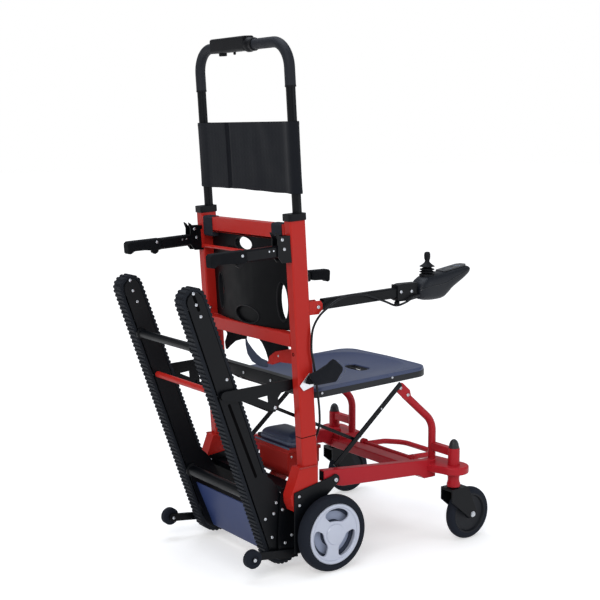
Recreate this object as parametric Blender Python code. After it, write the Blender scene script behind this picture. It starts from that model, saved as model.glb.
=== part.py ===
"""Stair climbing chair: a red frame on four wheels, with two toothed climbing tracks behind it.

Lists and sizes are in millimetres and the meshes are in metres. The front of the chair is -Y, the
sitter's left is +X, and +Z is up. Heights are above the ground, and Y is measured from the rear wheel
axle. One empty carries the chair, so that the middle of its box stands over the origin. What belongs to
the back of the chair is drawn upright, with its height along the uprights, and is then leaned back.
"""

import math

import bmesh
import bpy
from mathutils import Matrix, Vector

MM = 0.001
AXLE_Y = 71.5
GAP = 0.3
SIDES = ((-1, "right"), (1, "left"))

# Back of the chair
UPRIGHT_X = 215.0
UPRIGHT_WIDTH = 30.0
UPRIGHT_DEPTH = 48.0
UPRIGHT_WALL = 2.2
UPRIGHT_TOP = 924.6
BACK_FOOT_Y = 31.0
BACK_LEAN = math.radians(3.376)
BACK_INNER_X = UPRIGHT_X - UPRIGHT_WIDTH / 2 - GAP
PANEL_REAR = 20.0
PANEL_THICKNESS = 14.0
PANEL_BOW = 26.0
PANEL_BAYS = 12

# Push handle
HANDLE_X = 214.7
HANDLE_OFFSET = -9.5
HANDLE_RADIUS = 12.2
HANDLE_FOOT = 642.0
HANDLE_TOP = 1368.8
HANDLE_CORNER = 65.0
FOAM_RADIUS = 13.9
FOAM_FOOT = 1257.0
BOX_ENDS_X = (-37.0, 128.0)
COLLAR_END_X = -66.0
BOX_HEIGHTS = (1352.0, 1392.5)
RELEASE_X = 91.0

# Pivots, as (Y, Z)
FRONT_PIVOT = (-28.0, 237.0)
SEAT_PIVOT = (26.0, 462.0)
TRACK_PIVOT = (103.0, 78.0)
ARMREST_PIVOT = (24.0, 700.0)
LIFT_PIVOT = (128.0, 853.0)
FOOTREST_PIVOT = (-403.0, 204.0)
JOYSTICK_PIVOT = (-359.0, 752.0)

# Wheels
WHEEL_RADIUS = 102.5
WHEEL_X = (238.3, 275.7)
RIM_RADIUS = 81.0
HUB_RADIUS = 29.0
AXLE_RADIUS = 8.0
CASTER_RADIUS = 74.5
CASTER_X = 276.6
CASTER_SWIVEL_Y = -411.4
CASTER_AXLE_Y = -465.0
ROLLER_RADIUS = 24.0
ROLLER_AXLE = (221.0, 65.0)

# Climbing tracks
TRACK_INNER_X = 140.7
TRACK_OUTER_X = 188.3
TRACK_PLATE = 3.0
BELT_THICKNESS = 10.0
DRIVE_RADIUS = 60.0
TOP_PULLEY = (361.0, 736.0)
TOP_RADIUS = 35.5
BELT_BEND = (150.0, 262.0)
BELT_BEND_RADIUS = 90.0
RELEASE_BAR = (290.0, 496.0)
RELEASE_BAR_RADIUS = 7.0

# Seat, armrests and controller
SEAT_HALF_WIDTH = 190.0
SEAT_REAR_Y = 16.0
SEAT_FRONT_Y = -397.0
SEAT_THICKNESS = 26.0
SEAT_DISH = 17.0
SEAT_RISE = 0.04
ARM_X = 215.0
ARM_WIDTH = 20.0
CONTROLLER_WIDTH = 62.0
PANEL_RISE = 15.28
BOOT_RADIUS = 20.2
CABLE_RADIUS = 3.0
CABLE_STEP = 18.0


def clear_scene():
    """Remove what the scene holds."""
    for item in list(bpy.data.objects):
        bpy.data.objects.remove(item, do_unlink=True)


def finish(name, colour, metallic, roughness):
    """A Principled material with an sRGB hex colour."""
    channels = [int(colour[index:index + 2], 16) / 255 for index in (1, 3, 5)]
    linear = [value / 12.92 if value <= 0.04045 else ((value + 0.055) / 1.055) ** 2.4 for value in channels]
    material = bpy.data.materials.new(name)
    material.use_nodes = True
    shader = material.node_tree.nodes["Principled BSDF"]
    shader.inputs["Base Color"].default_value = (*linear, 1)
    shader.inputs["Metallic"].default_value = metallic
    shader.inputs["Roughness"].default_value = roughness
    return material


def solid(points, faces):
    """A closed mesh of the points and faces, turned to face outwards."""
    mesh = bpy.data.meshes.new("solid")
    mesh.from_pydata(points, [], faces)
    shape = bmesh.new()
    shape.from_mesh(mesh)
    bmesh.ops.recalc_face_normals(shape, faces=shape.faces[:])
    shape.to_mesh(mesh)
    shape.free()
    return mesh


def place(point, depth, axis):
    """A drawn point at a depth along an axis: X draws in (Y, Z), Y in (X, Z) and Z in (X, Y)."""
    first, second = point
    return {"X": (depth, first, second), "Y": (first, depth, second), "Z": (first, second, depth)}[axis]


def plate(outline, start, end, axis="X", holes=()):
    """The outline, less its holes, carried along the axis from start to end."""
    flat = bmesh.new()
    loops = []
    for loop in (outline, *holes):
        verts = [flat.verts.new((*point, 0)) for point in loop]
        for index, vert in enumerate(verts):
            flat.edges.new((verts[index - 1], vert))
        loops.append(verts)
    bmesh.ops.triangle_fill(flat, use_beauty=True, edges=flat.edges[:])
    flat.verts.index_update()
    count = len(flat.verts)
    drawn = [vert.co.xy for vert in flat.verts]
    near = [[vert.index for vert in face.verts] for face in flat.faces]
    far = [[index + count for index in face] for face in near]
    walls = []
    for loop in loops:
        ring = [vert.index for vert in loop]
        walls += [(ring[i - 1], ring[i], ring[i] + count, ring[i - 1] + count) for i in range(len(ring))]
    flat.free()
    points = [place(point, start, axis) for point in drawn] + [place(point, end, axis) for point in drawn]
    return solid(points, near + far + walls)


def skin(rings, closed=False):
    """A skin over rings of equally many points; a ring of one point is a pole, and open ends are closed."""
    points = []
    starts = []
    for ring in rings:
        starts.append(len(points))
        points += [tuple(point) for point in ring]
    faces = []
    pairs = list(zip(range(len(rings)), range(1, len(rings))))
    if closed:
        pairs.append((len(rings) - 1, 0))
    for first, second in pairs:
        count = max(len(rings[first]), len(rings[second]))
        for index in range(count):
            following = (index + 1) % count
            one = [starts[first] + step % len(rings[first]) for step in (index, following)]
            two = [starts[second] + step % len(rings[second]) for step in (following, index)]
            faces.append(list(dict.fromkeys(one + two)))
    if not closed:
        for ring, start in ((rings[0], starts[0]), (rings[-1], starts[-1])):
            if len(ring) > 1:
                faces.append(list(range(start, start + len(ring))))
    return solid(points, faces)


def circle(centre, radius, sides=16, first=0.0, turn=360.0):
    """Points on a circle, or on the arc that starts at `first` and goes on for `turn` degrees."""
    last = sides if turn == 360.0 else sides + 1
    angles = [math.radians(first + turn * index / sides) for index in range(last)]
    across, up = centre
    return [(across + radius * math.cos(angle), up + radius * math.sin(angle)) for angle in angles]


def turned(profile, centre, axis="X", sides=24):
    """Pairs of (radius, distance along the axis) turned about the axis through the centre."""
    rings = []
    for radius, along in profile:
        ring = circle(centre, radius, sides) if radius else [centre]
        rings.append([place(point, along, axis) for point in ring])
    return skin(rings, closed=all(radius for radius, along in profile))


def rod(centre, radius, start, end, axis="X", sides=16):
    """A round bar along an axis."""
    return plate(circle(centre, radius, sides), start, end, axis)


def box_section(width, height, corner):
    """A rectangle about the middle with its corners cut at 45 degrees."""
    half_width, half_height = width / 2, height / 2
    quarter = [(half_width, half_height - corner), (half_width - corner, half_height)]
    points = quarter + [(-x, z) for x, z in reversed(quarter)]
    return points + [(-x, -z) for x, z in points]


def block(low, high):
    """A plain block between two corners."""
    corners = [(low[0], low[1]), (high[0], low[1]), (high[0], high[1]), (low[0], high[1])]
    return plate(corners, low[2], high[2], "Z")


def rounded(path, radius, steps=4, closed=False):
    """The path with its corners turned into arcs of the radius."""
    points = [Vector(point) for point in path]
    count = len(points)
    result = []
    for index, point in enumerate(points):
        if not closed and index in (0, count - 1):
            result.append(point)
            continue
        back = points[index - 1] - point
        ahead = points[(index + 1) % count] - point
        half = back.angle(ahead) / 2
        length = min(radius / math.tan(half), 0.49 * back.length, 0.49 * ahead.length)
        arc_radius = length * math.tan(half)
        inward = (back.normalized() + ahead.normalized()).normalized()
        middle = point + inward * (arc_radius / math.sin(half))
        first = point + back.normalized() * length - middle
        last = point + ahead.normalized() * length - middle
        turn = math.pi - 2 * half
        for step in range(steps + 1):
            share = step / steps
            mixed = first * math.sin((1 - share) * turn) + last * math.sin(share * turn)
            result.append(middle + mixed / math.sin(turn))
    return [tuple(point) for point in result]


def mitred_rings(points, runs, section):
    """The section at each point of a path, in the plane that halves the corner there."""
    start = Vector((1, 0, 0)) if abs(runs[0].x) < 0.9 else Vector((0, 1, 0))
    side = (start - runs[0] * start.dot(runs[0])).normalized()
    rings = []
    for index, point in enumerate(points):
        before = runs[max(index - 1, 0)]
        after = runs[min(index, len(runs) - 1)]
        rise = before.cross(side)
        normal = (before + after).normalized()
        ring = []
        for across, up in section:
            offset = side * across + rise * up
            ring.append(point + offset - before * (offset.dot(normal) / before.dot(normal)))
        rings.append(ring)
        side = before.rotation_difference(after) @ side
    return rings


def sweep(path, section, bore=None):
    """A bar of the section along the path; a bore section of equally many points makes it a tube."""
    points = [Vector(point) for point in path]
    runs = [(ahead - point).normalized() for point, ahead in zip(points, points[1:])]
    rings = mitred_rings(points, runs, section)
    if bore:
        rings += reversed(mitred_rings(points, runs, bore))
    return skin(rings, closed=bool(bore))


def boolean(first, others, operation, solver="EXACT"):
    """The first mesh joined with the others, or cut by them."""
    body = bpy.data.objects.new("body", first)
    bpy.context.scene.collection.objects.link(body)
    tools = []
    for mesh in others:
        tool = bpy.data.objects.new("tool", mesh)
        bpy.context.scene.collection.objects.link(tool)
        step = body.modifiers.new("step", "BOOLEAN")
        step.operation = operation
        step.solver = solver
        step.object = tool
        tools.append(tool)
    result = bpy.data.meshes.new_from_object(body.evaluated_get(bpy.context.evaluated_depsgraph_get()))
    for item in (body, *tools):
        bpy.data.objects.remove(item, do_unlink=True)
    return result


def joined(first, *others):
    """One body from meshes that overlap."""
    return boolean(first, others, "UNION")


def cut(first, *others):
    """The first mesh less the others."""
    return boolean(first, others, "DIFFERENCE")


def leaned(mesh):
    """The mesh turned from upright to the lean of the chair's back."""
    mesh.transform(Matrix.Translation((0, BACK_FOOT_Y, 0)) @ Matrix.Rotation(-BACK_LEAN, 4, "X"))
    return mesh


def back_y(height, offset):
    """Y of a point at an offset behind the middle plane of the uprights."""
    return BACK_FOOT_Y + height * math.tan(BACK_LEAN) + offset / math.cos(BACK_LEAN)


def add(name, mesh, material, pivot=(0, 0, 0)):
    """The mesh as a sub-part of the chair, with its origin on its pivot."""
    mesh.transform(Matrix.Scale(MM, 4) @ Matrix.Translation(-Vector(pivot)))
    mesh.materials.clear()
    mesh.materials.append(material)
    mesh.shade_smooth()
    mesh.set_sharp_from_angle(angle=math.radians(35))
    part = bpy.data.objects.new(name, mesh)
    bpy.context.scene.collection.objects.link(part)
    part.parent = CHAIR
    part.location = Vector(pivot) * MM


def make_uprights():
    """Two hollow rectangular tubes, each welded to its foot bracket and its armrest hinge."""
    foot = [(26, 283), (84, 283), (112, 212), (110, 192), (100, 170), (40, 170), (26, 190)]
    cheek = [(back_y(680, -23), 680), (back_y(715, -23), 715), (14, 715), (8, 707), (8, 692), (20, 680)]
    belt_tab = [(54, 532), (83, 501), (72, 488), (30, 500)]
    stay = [(-201, 580), (-137, 579), (-76, 564), (-47, 547), (-37, 526), (-61, 526), (-95, 538)]
    stay.append((-201, 547))
    wall = 2 * UPRIGHT_WALL
    for side, word in SIDES:
        outer = box_section(UPRIGHT_WIDTH, UPRIGHT_DEPTH, 3)
        bore = box_section(UPRIGHT_WIDTH - wall, UPRIGHT_DEPTH - wall, 1.5)
        line = [(side * UPRIGHT_X, 0, 281), (side * UPRIGHT_X, 0, UPRIGHT_TOP)]
        pieces = [plate(foot, side * 195.8, side * 232.2)]
        pieces += [plate(cheek, side * near, side * (near + 3)) for near in (201.5, 225.5)]
        pieces.append(rod(ARMREST_PIVOT, 4, side * 203, side * 227))
        if word == "right":
            pieces.append(plate(belt_tab, side * 229.5, side * 233))
            pieces.append(plate(stay, 47, 52, "Y"))
        tube = leaned(sweep(line, outer, bore))
        add("upright_" + word, joined(tube, *pieces), RED)


def make_upright_caps():
    """Plastic caps on the uprights that guide the push handle's legs."""
    for side, word in SIDES:
        outline = [(side * UPRIGHT_X + x, y) for x, y in box_section(36, 54, 4)]
        hole = circle((side * HANDLE_X, HANDLE_OFFSET), HANDLE_RADIUS + 0.5)
        cap = plate(outline, UPRIGHT_TOP + GAP, UPRIGHT_TOP + 18.5, "Z", [hole])
        add("upright_cap_" + word, leaned(cap), BLACK_PLASTIC)


def make_back_bars():
    """The crossbars of the back and the bar behind the seat."""
    top = block((-BACK_INNER_X, 0, 876), (BACK_INNER_X, 24, 916))
    ears = [block((low, 20.4, 828), (low + 3, 31, 880)) for low in (-199.6, 196.6)]
    brace = rod((26, 834), 4.5, -198, 198)
    add("back_top_crossbar", leaned(joined(top, *ears, brace)), RED)
    low = block((-BACK_INNER_X, 0, 600), (BACK_INNER_X, 24, 635))
    add("back_lower_crossbar", leaned(low), RED)
    bar = block((-BACK_INNER_X, 38, 471), (BACK_INNER_X, 62, 503))
    ear = [(60, 472), (60, 490), (46, 490), (38, 471), *circle(SEAT_PIVOT, 9, 6, 60, 240)]
    ears = [plate(ear, side * 140, side * 145) for side, word in SIDES]
    pins = [rod(SEAT_PIVOT, 4, side * 124, side * 142) for side, word in SIDES]
    add("seat_rear_bar", joined(bar, *ears, *pins), BLACK_STEEL)


def oval(centre, width, height, steps=4):
    """A slot with round ends, standing or lying, as points."""
    half_width, half_height = width / 2, height / 2
    signs = ((-1, -1), (1, -1), (1, 1), (-1, 1))
    corners = [(centre[0] + x * half_width, centre[1] + z * half_height) for x, z in signs]
    return rounded(corners, min(half_width, half_height) * 0.98, steps, closed=True)


def ellipse(centre, width, height, sides=20):
    """Points on an ellipse about the centre."""
    return [(centre[0] + x * width / 2, centre[1] + z * height / 2) for x, z in circle((0, 0), 1, sides)]


def make_back_panel():
    """Moulded plastic back, bowed to the rear, with three hand holes and a blind recess below them."""
    stations = [BACK_INNER_X * (2 * index / PANEL_BAYS - 1) for index in range(PANEL_BAYS + 1)]
    rear = [(x, PANEL_REAR - PANEL_BOW * (x / BACK_INNER_X) ** 2) for x in stations]
    front = [(x, y - PANEL_THICKNESS) for x, y in reversed(rear)]
    panel = plate(rear + front, 635.4, 875.6, "Z")
    holes = [ellipse((0, 853), 80, 36)]
    holes += [ellipse((side * 150, 709.5), 36, 100) for side, word in SIDES]
    cutters = [plate(hole, -60, 60, "Y") for hole in holes]
    cutters.append(plate(ellipse((4, 661), 110, 44), PANEL_REAR - 8, 60, "Y"))
    add("back_panel", leaned(cut(panel, *cutters)), BLACK_PLASTIC)


def make_lift_handles():
    """Fold-down rear handles for lifting the chair, each in a forked bracket on the upright."""
    web_y = (back_y(819, 24) + 3.5, back_y(887, 24) + 0.5)
    fork = [(web_y[0] - 3, 819), (web_y[1] + 3, 887), (138, 887), (146, 879), (146, 836), (132, 819)]
    front, rear = LIFT_PIVOT[0] + 8, 234.7
    for side, word in SIDES:
        cheeks = [plate(fork, side * near, side * (near + 3)) for near in (201, 226)]
        web = [(web_y[0] + 2, 864), (web_y[1], 887), (web_y[1] + 4, 887), (web_y[0] + 6, 864)]
        web = plate(web, side * 202, side * 228)
        pin = rod(LIFT_PIVOT, 4, side * 203, side * 227)
        add("lift_bracket_" + word, joined(web, *cheeks, pin), BLACK_STEEL)
        pivot = (side * ARM_X, *LIFT_PIVOT)
        line = [(side * ARM_X, front, 848), (side * ARM_X, rear, 842)]
        bar = sweep(line, box_section(ARM_WIDTH, 31, 4))
        lug = [*circle(LIFT_PIVOT, 12, 8, 90, 180), (front + 6, 839), (front + 6, 862)]
        bar = joined(bar, plate(lug, side * 206, side * 224))
        bar = cut(bar, rod(LIFT_PIVOT, 4.5, side * 200, side * 230))
        add("lift_handle_" + word, bar, BLACK_STEEL, pivot)
        grip = [(236, 858), (236, 827), (252, 824), (286, 827), (318, 826), (329, 819)]
        grip += [(338, 820), (340, 847), (334, 853)]
        add("lift_grip_" + word, soft_plate(grip, side, 14.5, 4), FOAM_RUBBER, pivot)


def soft_plate(outline, side, half_width, edge):
    """A thick shape about the armrest plane, drawn in (Y, Z), with its outer edges drawn in."""
    centre = Vector((sum(point[0] for point in outline), sum(point[1] for point in outline))) / len(outline)
    drawn = [Vector(point) for point in outline]
    drawn_in = [point + (centre - point).normalized() * edge for point in drawn]
    middle = side * ARM_X
    flat = half_width - edge
    layers = ((half_width, drawn_in), (flat, drawn), (-flat, drawn), (-half_width, drawn_in))
    return skin([[(middle + across, *point) for point in points] for across, points in layers])


def handle_path(side, foot):
    """The push handle's centre line from one leg's foot to the middle of its top."""
    leg = side * HANDLE_X
    corners = [(leg, HANDLE_OFFSET, foot), (leg, HANDLE_OFFSET, HANDLE_TOP), (0, HANDLE_OFFSET, HANDLE_TOP)]
    return rounded(corners, HANDLE_CORNER, 4)


def make_push_handle():
    """The telescopic push handle: one bent tube, two foam grips and the box of the height release."""
    path = handle_path(-1, HANDLE_FOOT)[:-1] + handle_path(1, HANDLE_FOOT)[-2::-1]
    tube = sweep(path, circle((0, 0), HANDLE_RADIUS, 12), circle((0, 0), HANDLE_RADIUS - 1.8, 12))
    add("push_handle_tube", leaned(tube), BLACK_STEEL)
    foam = circle((0, 0), FOAM_RADIUS, 12)
    bore = circle((0, 0), HANDLE_RADIUS + 0.3, 12)
    for side, word in SIDES:
        foot = (side * HANDLE_X, HANDLE_OFFSET, FOAM_FOOT)
        grip_path = [foot, *handle_path(side, HANDLE_FOOT)[1:-1]]
        end = COLLAR_END_X - GAP if side < 0 else BOX_ENDS_X[1] + 4 * GAP
        grip_path.append((end, HANDLE_OFFSET, HANDLE_TOP))
        add("push_grip_" + word, leaned(sweep(grip_path, foam, bore)), FOAM_RUBBER)
    low, high = BOX_HEIGHTS
    middle = (HANDLE_OFFSET, (low + high) / 2)
    case = [(middle[0] + y, middle[1] + z) for y, z in box_section(36, high - low, 7)]
    case = plate(case, *BOX_ENDS_X)
    collar = rod((HANDLE_OFFSET, HANDLE_TOP), 17, COLLAR_END_X, BOX_ENDS_X[0] + 2)
    tube_bore = rod((HANDLE_OFFSET, HANDLE_TOP), HANDLE_RADIUS + 0.4, COLLAR_END_X - 5, BOX_ENDS_X[1] + 5)
    pocket = rod((RELEASE_X, HANDLE_OFFSET), 11.5, low - 5, low + 3.6, "Z")
    box = boolean(joined(case, collar), [tube_bore, pocket], "DIFFERENCE", "MANIFOLD")
    add("push_handle_box", leaned(box), BLACK_PLASTIC)
    button = rod((RELEASE_X, HANDLE_OFFSET), 10.8, low - 6, low + 0.4, "Z")
    add("height_release_button", leaned(button), BLACK_PLASTIC)


def make_headrest():
    """A closed nylon band around the two legs of the push handle."""
    ends = []
    for side in (1, -1):
        start = -60 if side > 0 else 120
        arc = circle((0, 0), 1, 8, start, 120)
        ends += [(side * HANDLE_X + 21.3 * x, HANDLE_OFFSET + 16 * y) for x, y in arc]
        ends.append((side * 176, HANDLE_OFFSET + side * 8))
        ends.append((-side * 176 + side * 352 * 0.04, HANDLE_OFFSET + side * 8))
    holes = [circle((side * HANDLE_X, HANDLE_OFFSET), HANDLE_RADIUS + 0.5) for side, word in SIDES]
    add("headrest_band", leaned(plate(ends, 991, 1172, "Z", holes)), NYLON)


def make_armrests():
    """Flip-up armrests: the right one ends in the clamp of the controller, the left one in a grip."""
    lug = [*circle(ARMREST_PIVOT, 11, 8, -90, 180), (-4, 711), (-4, 689)]
    clamp = [(-243, 694), (-243, 733), (-260, 737), (-314.8, 737), (-314.8, 694), (-290, 690), (-250, 690)]
    grip = [(-269.3, 732), (-269.3, 705), (-280, 703), (-322, 702), (-332, 695), (-339, 699)]
    grip += [(-340, 728), (-334, 733)]
    for side, word in SIDES:
        pivot = (side * ARM_X, *ARMREST_PIVOT)
        end = (-255, 713.4) if word == "right" else (-268, 713.9)
        line = [(side * ARM_X, 0, 703.5), (side * ARM_X, *end)]
        bar = joined(sweep(line, box_section(ARM_WIDTH, 28, 3)), plate(lug, side * 206, side * 224))
        bar = cut(bar, rod(ARMREST_PIVOT, 4.5, side * 200, side * 230))
        if word == "right":
            bar = joined(bar, plate(clamp, side * 202, side * 228))
        else:
            add("armrest_grip_left", soft_plate(grip, side, 15, 4), FOAM_RUBBER, pivot)
        add("armrest_" + word, bar, BLACK_STEEL, pivot)


def panel_point(share):
    """A point on the controller's sloping key panel, as (Y, Z)."""
    return (-387 - 100 * share, 758.5 + PANEL_RISE * share)


def make_controller():
    """The drive controller on the right armrest, its joystick on two crossed pivots, and two keys."""
    outline = [(-315.2, 722), (-335, 750), (-380, 757), panel_point(0.3), panel_point(1), (-503, 762)]
    outline += [(-499, 752), (-455, 726), (-426, 711), (-401, 687), (-362, 684), (-315.2, 700)]
    pivot = (-ARM_X, *ARMREST_PIVOT)
    centre = (-ARM_X, JOYSTICK_PIVOT[0])
    case = soft_plate(outline, -1, CONTROLLER_WIDTH / 2, 7)
    well = rod(centre, BOOT_RADIUS + 2.3, JOYSTICK_PIVOT[1] - 14, 800, "Z", 16)
    key_axis = Vector((0, PANEL_RISE, 100)).normalized()
    wells = [well]
    keys = []
    for share, word in ((0.32, "power_key"), (0.62, "horn_key")):
        base = Vector((-ARM_X, *panel_point(share)))
        wells.append(sweep([base - key_axis * 4, base + key_axis * 8], circle((0, 0), 6.2, 10)))
        key = sweep([base - key_axis * 2.4, base + key_axis * 2.2], circle((0, 0), 5.6, 10))
        keys.append((word, base, key))
    add("controller_case", cut(case, *wells), BLACK_PLASTIC, pivot)
    for word, base, key in keys:
        add(word, key, BLACK_PLASTIC, base)
    height = JOYSTICK_PIVOT[1]
    dome = circle((0, height), BOOT_RADIUS, 5, -10, 100)
    boot = turned([(0, dome[0][1]), *dome[:-1], (0, height + BOOT_RADIUS)], centre, "Z", 16)
    add("joystick_boot", boot, BLACK_PLASTIC, (-ARM_X, *JOYSTICK_PIVOT))
    foot = height + BOOT_RADIUS + 2 * GAP
    stem = [(0, foot), (5, foot), (4.5, height + 36), (8, height + 42), (8.5, height + 54)]
    stem += [(6.5, height + 64), (0, height + 65.5)]
    add("joystick_knob", turned(stem, centre, "Z", 12), BLACK_PLASTIC, (-ARM_X, *JOYSTICK_PIVOT))


def seat_top(y):
    """Height of the seat's rim, which rises to the front."""
    return 473.5 - SEAT_RISE * y


def make_seat():
    """The dished seat board with its oval opening and its two hinge lugs."""
    rear, front, half = SEAT_REAR_Y, SEAT_FRONT_Y, SEAT_HALF_WIDTH
    corners = [(-half, rear), (half, rear), (half, front), (0, front - 8), (-half, front)]
    rim = [Vector(point) for point in rounded(corners, 46, 3, closed=True)]
    middle = Vector((0, (rear + front) / 2))

    def ring(scale, drop):
        return [(*(middle + (point - middle) * scale), seat_top(point.y) - drop) for point in rim]

    rings = [[(middle.x, middle.y, seat_top(middle.y) - SEAT_THICKNESS)]]
    rings += [ring(0.97, SEAT_THICKNESS), ring(1, SEAT_THICKNESS - 5), ring(1, 4), ring(0.98, 0)]
    rings += [ring(scale, SEAT_DISH * (1 - ((scale - 0.2) / 0.76) ** 2)) for scale in (0.9, 0.6, 0.3)]
    rings.append([(middle.x, middle.y, seat_top(middle.y) - SEAT_DISH)])
    board = skin(rings)
    hole = plate(oval((0, -284), 92, 36), 400, 520, "Z")
    lug = [(-20, 449), (26, 453), *circle(SEAT_PIVOT, 9, 6, -90, 180), (-20, 467)]
    lugs = [plate(lug, side * 127, side * 138) for side, word in SIDES]
    holes = [rod(SEAT_PIVOT, 4.5, side * 120, side * 145) for side, word in SIDES]
    board = cut(joined(cut(board, hole), *lugs), *holes)
    add("seat_board", board, SEAT_PLASTIC, (0, *SEAT_PIVOT))
    pad = rounded([(49, 497), (76, 530), (-10, 569), (-46, 536), (-16, 499)], 9, 2, closed=True)
    add("hip_pad", plate(pad, -243.2, -261.8), NYLON)


def make_base():
    """Base of the frame: outer side plates with the wheel axles, and the inner box with the roller arms."""
    arm_end = circle(FRONT_PIVOT, 14, 6, 225, -180)
    outer = [*arm_end, (104, 222), (104, 60), (-30, 70), (-30, 140), (10, 190)]
    for side, word in SIDES:
        axle = rod((0, WHEEL_RADIUS), AXLE_RADIUS, side * 235, side * 275, sides=24)
        pin = rod(FRONT_PIVOT, 6, side * 204, side * 234)
        add("side_plate_" + word, joined(plate(outer, side * 232.5, side * 236.5), axle, pin), BLACK_STEEL)
    inner = [(20, 236), (118, 225), (126, 130), (128, 48), (60, 40), (-10, 60), (-10, 140)]
    pieces = []
    for side, word in SIDES:
        arm = [(70, 36), (70, 57), *circle(ROLLER_AXLE, 10.5, 6, 98, -180)]
        pieces.append(plate(inner, side * 192.5, side * 195.5))
        pieces.append(plate(arm, side * 195, side * 202.5))
        pieces.append(rod(ROLLER_AXLE, 5, side * 202, side * 227))
        pieces.append(rod(TRACK_PIVOT, 7, side * 185.5, side * 194))
    cross = block((-193, 34, 196), (193, 80, 212))
    add("base_frame", joined(cross, *pieces), BLACK_STEEL)


def make_rear_wheels():
    """Spoked rear wheels with solid tyres, and the small rollers behind them."""
    low, high = WHEEL_X
    seat = RIM_RADIUS + 3 * GAP
    shoulder, wall, well = WHEEL_RADIUS - 4, WHEEL_RADIUS - 12, RIM_RADIUS - 10
    tyre = [(seat, low + 3), (wall, low), (shoulder, low + 2), (WHEEL_RADIUS, low + 10)]
    tyre += [(WHEEL_RADIUS, high - 10), (shoulder, high - 2), (wall, high), (seat, high - 3)]
    rim = [(8.6, low - 0.3), (HUB_RADIUS - 3, low - 0.3), (HUB_RADIUS, 257), (well, 257), (well + 3, low + 3)]
    rim += [(RIM_RADIUS, low + 3), (RIM_RADIUS, high - 2), (well + 6, high + 1), (well, high - 3)]
    rim += [(HUB_RADIUS, high - 5), (HUB_RADIUS - 2, high + 2.8), (8.6, high + 2.8)]
    centre = (0, WHEEL_RADIUS)
    for side, word in SIDES:
        windows = []
        for index in range(3):
            middle = 90 + 120 * index
            window = circle(centre, 68.5, 5, middle - 42, 84) + circle(centre, 35, 3, middle + 32, -64)
            windows.append(plate(window, side * 230, side * 290))
        wheel = turned([(radius, side * along) for radius, along in rim], centre, sides=24)
        add("rear_rim_" + word, cut(wheel, *windows), RIM_PAINT, (side * CASTER_X, *centre))
        ring = turned([(radius, side * along) for radius, along in tyre], centre, sides=28)
        add("rear_tyre_" + word, ring, RUBBER, (side * CASTER_X, *centre))
        roller = [(5.6, 204), (ROLLER_RADIUS - 2, 204), (ROLLER_RADIUS, 207), (ROLLER_RADIUS, 222)]
        roller += [(ROLLER_RADIUS - 2, 225), (5.6, 225)]
        roller = turned([(radius, side * along) for radius, along in roller], ROLLER_AXLE, sides=16)
        add("rear_roller_" + word, roller, RUBBER, (side * ARM_X, *ROLLER_AXLE))


def make_drive():
    """Drive housing with its chain case, the battery on its tray, and the shaft with both sprockets."""
    case = circle((-30, 245), 40, 5, 180, 90) + circle((-8.3, 247), 42, 5, 270, 90)
    case += [(33.7, 290), (-70, 290)]
    housing = plate(case, -105, 35)
    tray = block((-108, -76, 286), (60, 32, 296))
    chain_start = (-15, 205)
    chain = circle(chain_start, 20, 6, 47, 180) + circle(TRACK_PIVOT, 24, 8, 227, 180)
    bore = rod(TRACK_PIVOT, 10.8, -30, 30, sides=24)
    housing = cut(joined(housing, tray, plate(chain, -14, 14)), bore)
    add("drive_housing", housing, RED)
    outline = rounded([(-95, -75), (54, -75), (54, 20), (-95, 20)], 12, 3, closed=True)
    battery = plate(outline, 296.3, 333, "Z")
    latch = block((45, 0, 298), (66, 20, 310))
    add("battery", joined(battery, latch), BLACK_PLASTIC)
    shaft = rod(TRACK_PIVOT, 10, -184.9, 184.9)
    radius = DRIVE_RADIUS - BELT_THICKNESS - 0.6
    sprockets = [rod(TRACK_PIVOT, radius, side * 146, side * 183, sides=24) for side, word in SIDES]
    add("drive_shaft", joined(shaft, *sprockets), BRIGHT_STEEL, (0, *TRACK_PIVOT))


def track_outline(inset):
    """The track's outline, drawn in by an inset: round the sprocket, up the rear, over the top, down."""
    reach = Vector(TOP_PULLEY) - Vector(TRACK_PIVOT)
    lean = math.atan2(reach.x, reach.y) - math.asin((DRIVE_RADIUS - TOP_RADIUS) / reach.length)
    rear = -math.degrees(lean)
    to_bend = Vector(BELT_BEND) - Vector(TRACK_PIVOT)
    front = math.degrees(math.atan2(to_bend.y, to_bend.x) + math.acos(DRIVE_RADIUS / to_bend.length))
    low = circle(TRACK_PIVOT, DRIVE_RADIUS - inset, 16, front, 360 + rear - front)
    top = circle(TOP_PULLEY, TOP_RADIUS - inset, 10, rear, 180)
    inward = Vector((math.cos(lean), -math.sin(lean)))
    low_inward = Vector((math.cos(math.radians(front + 180)), math.sin(math.radians(front + 180))))
    bisector = (inward + low_inward).normalized()
    corner = Vector(BELT_BEND) + bisector * (inset / bisector.dot(inward))
    bend = rounded([top[-1], corner, low[0]], BELT_BEND_RADIUS, 4)[1:-1]
    return low + top + bend


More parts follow.
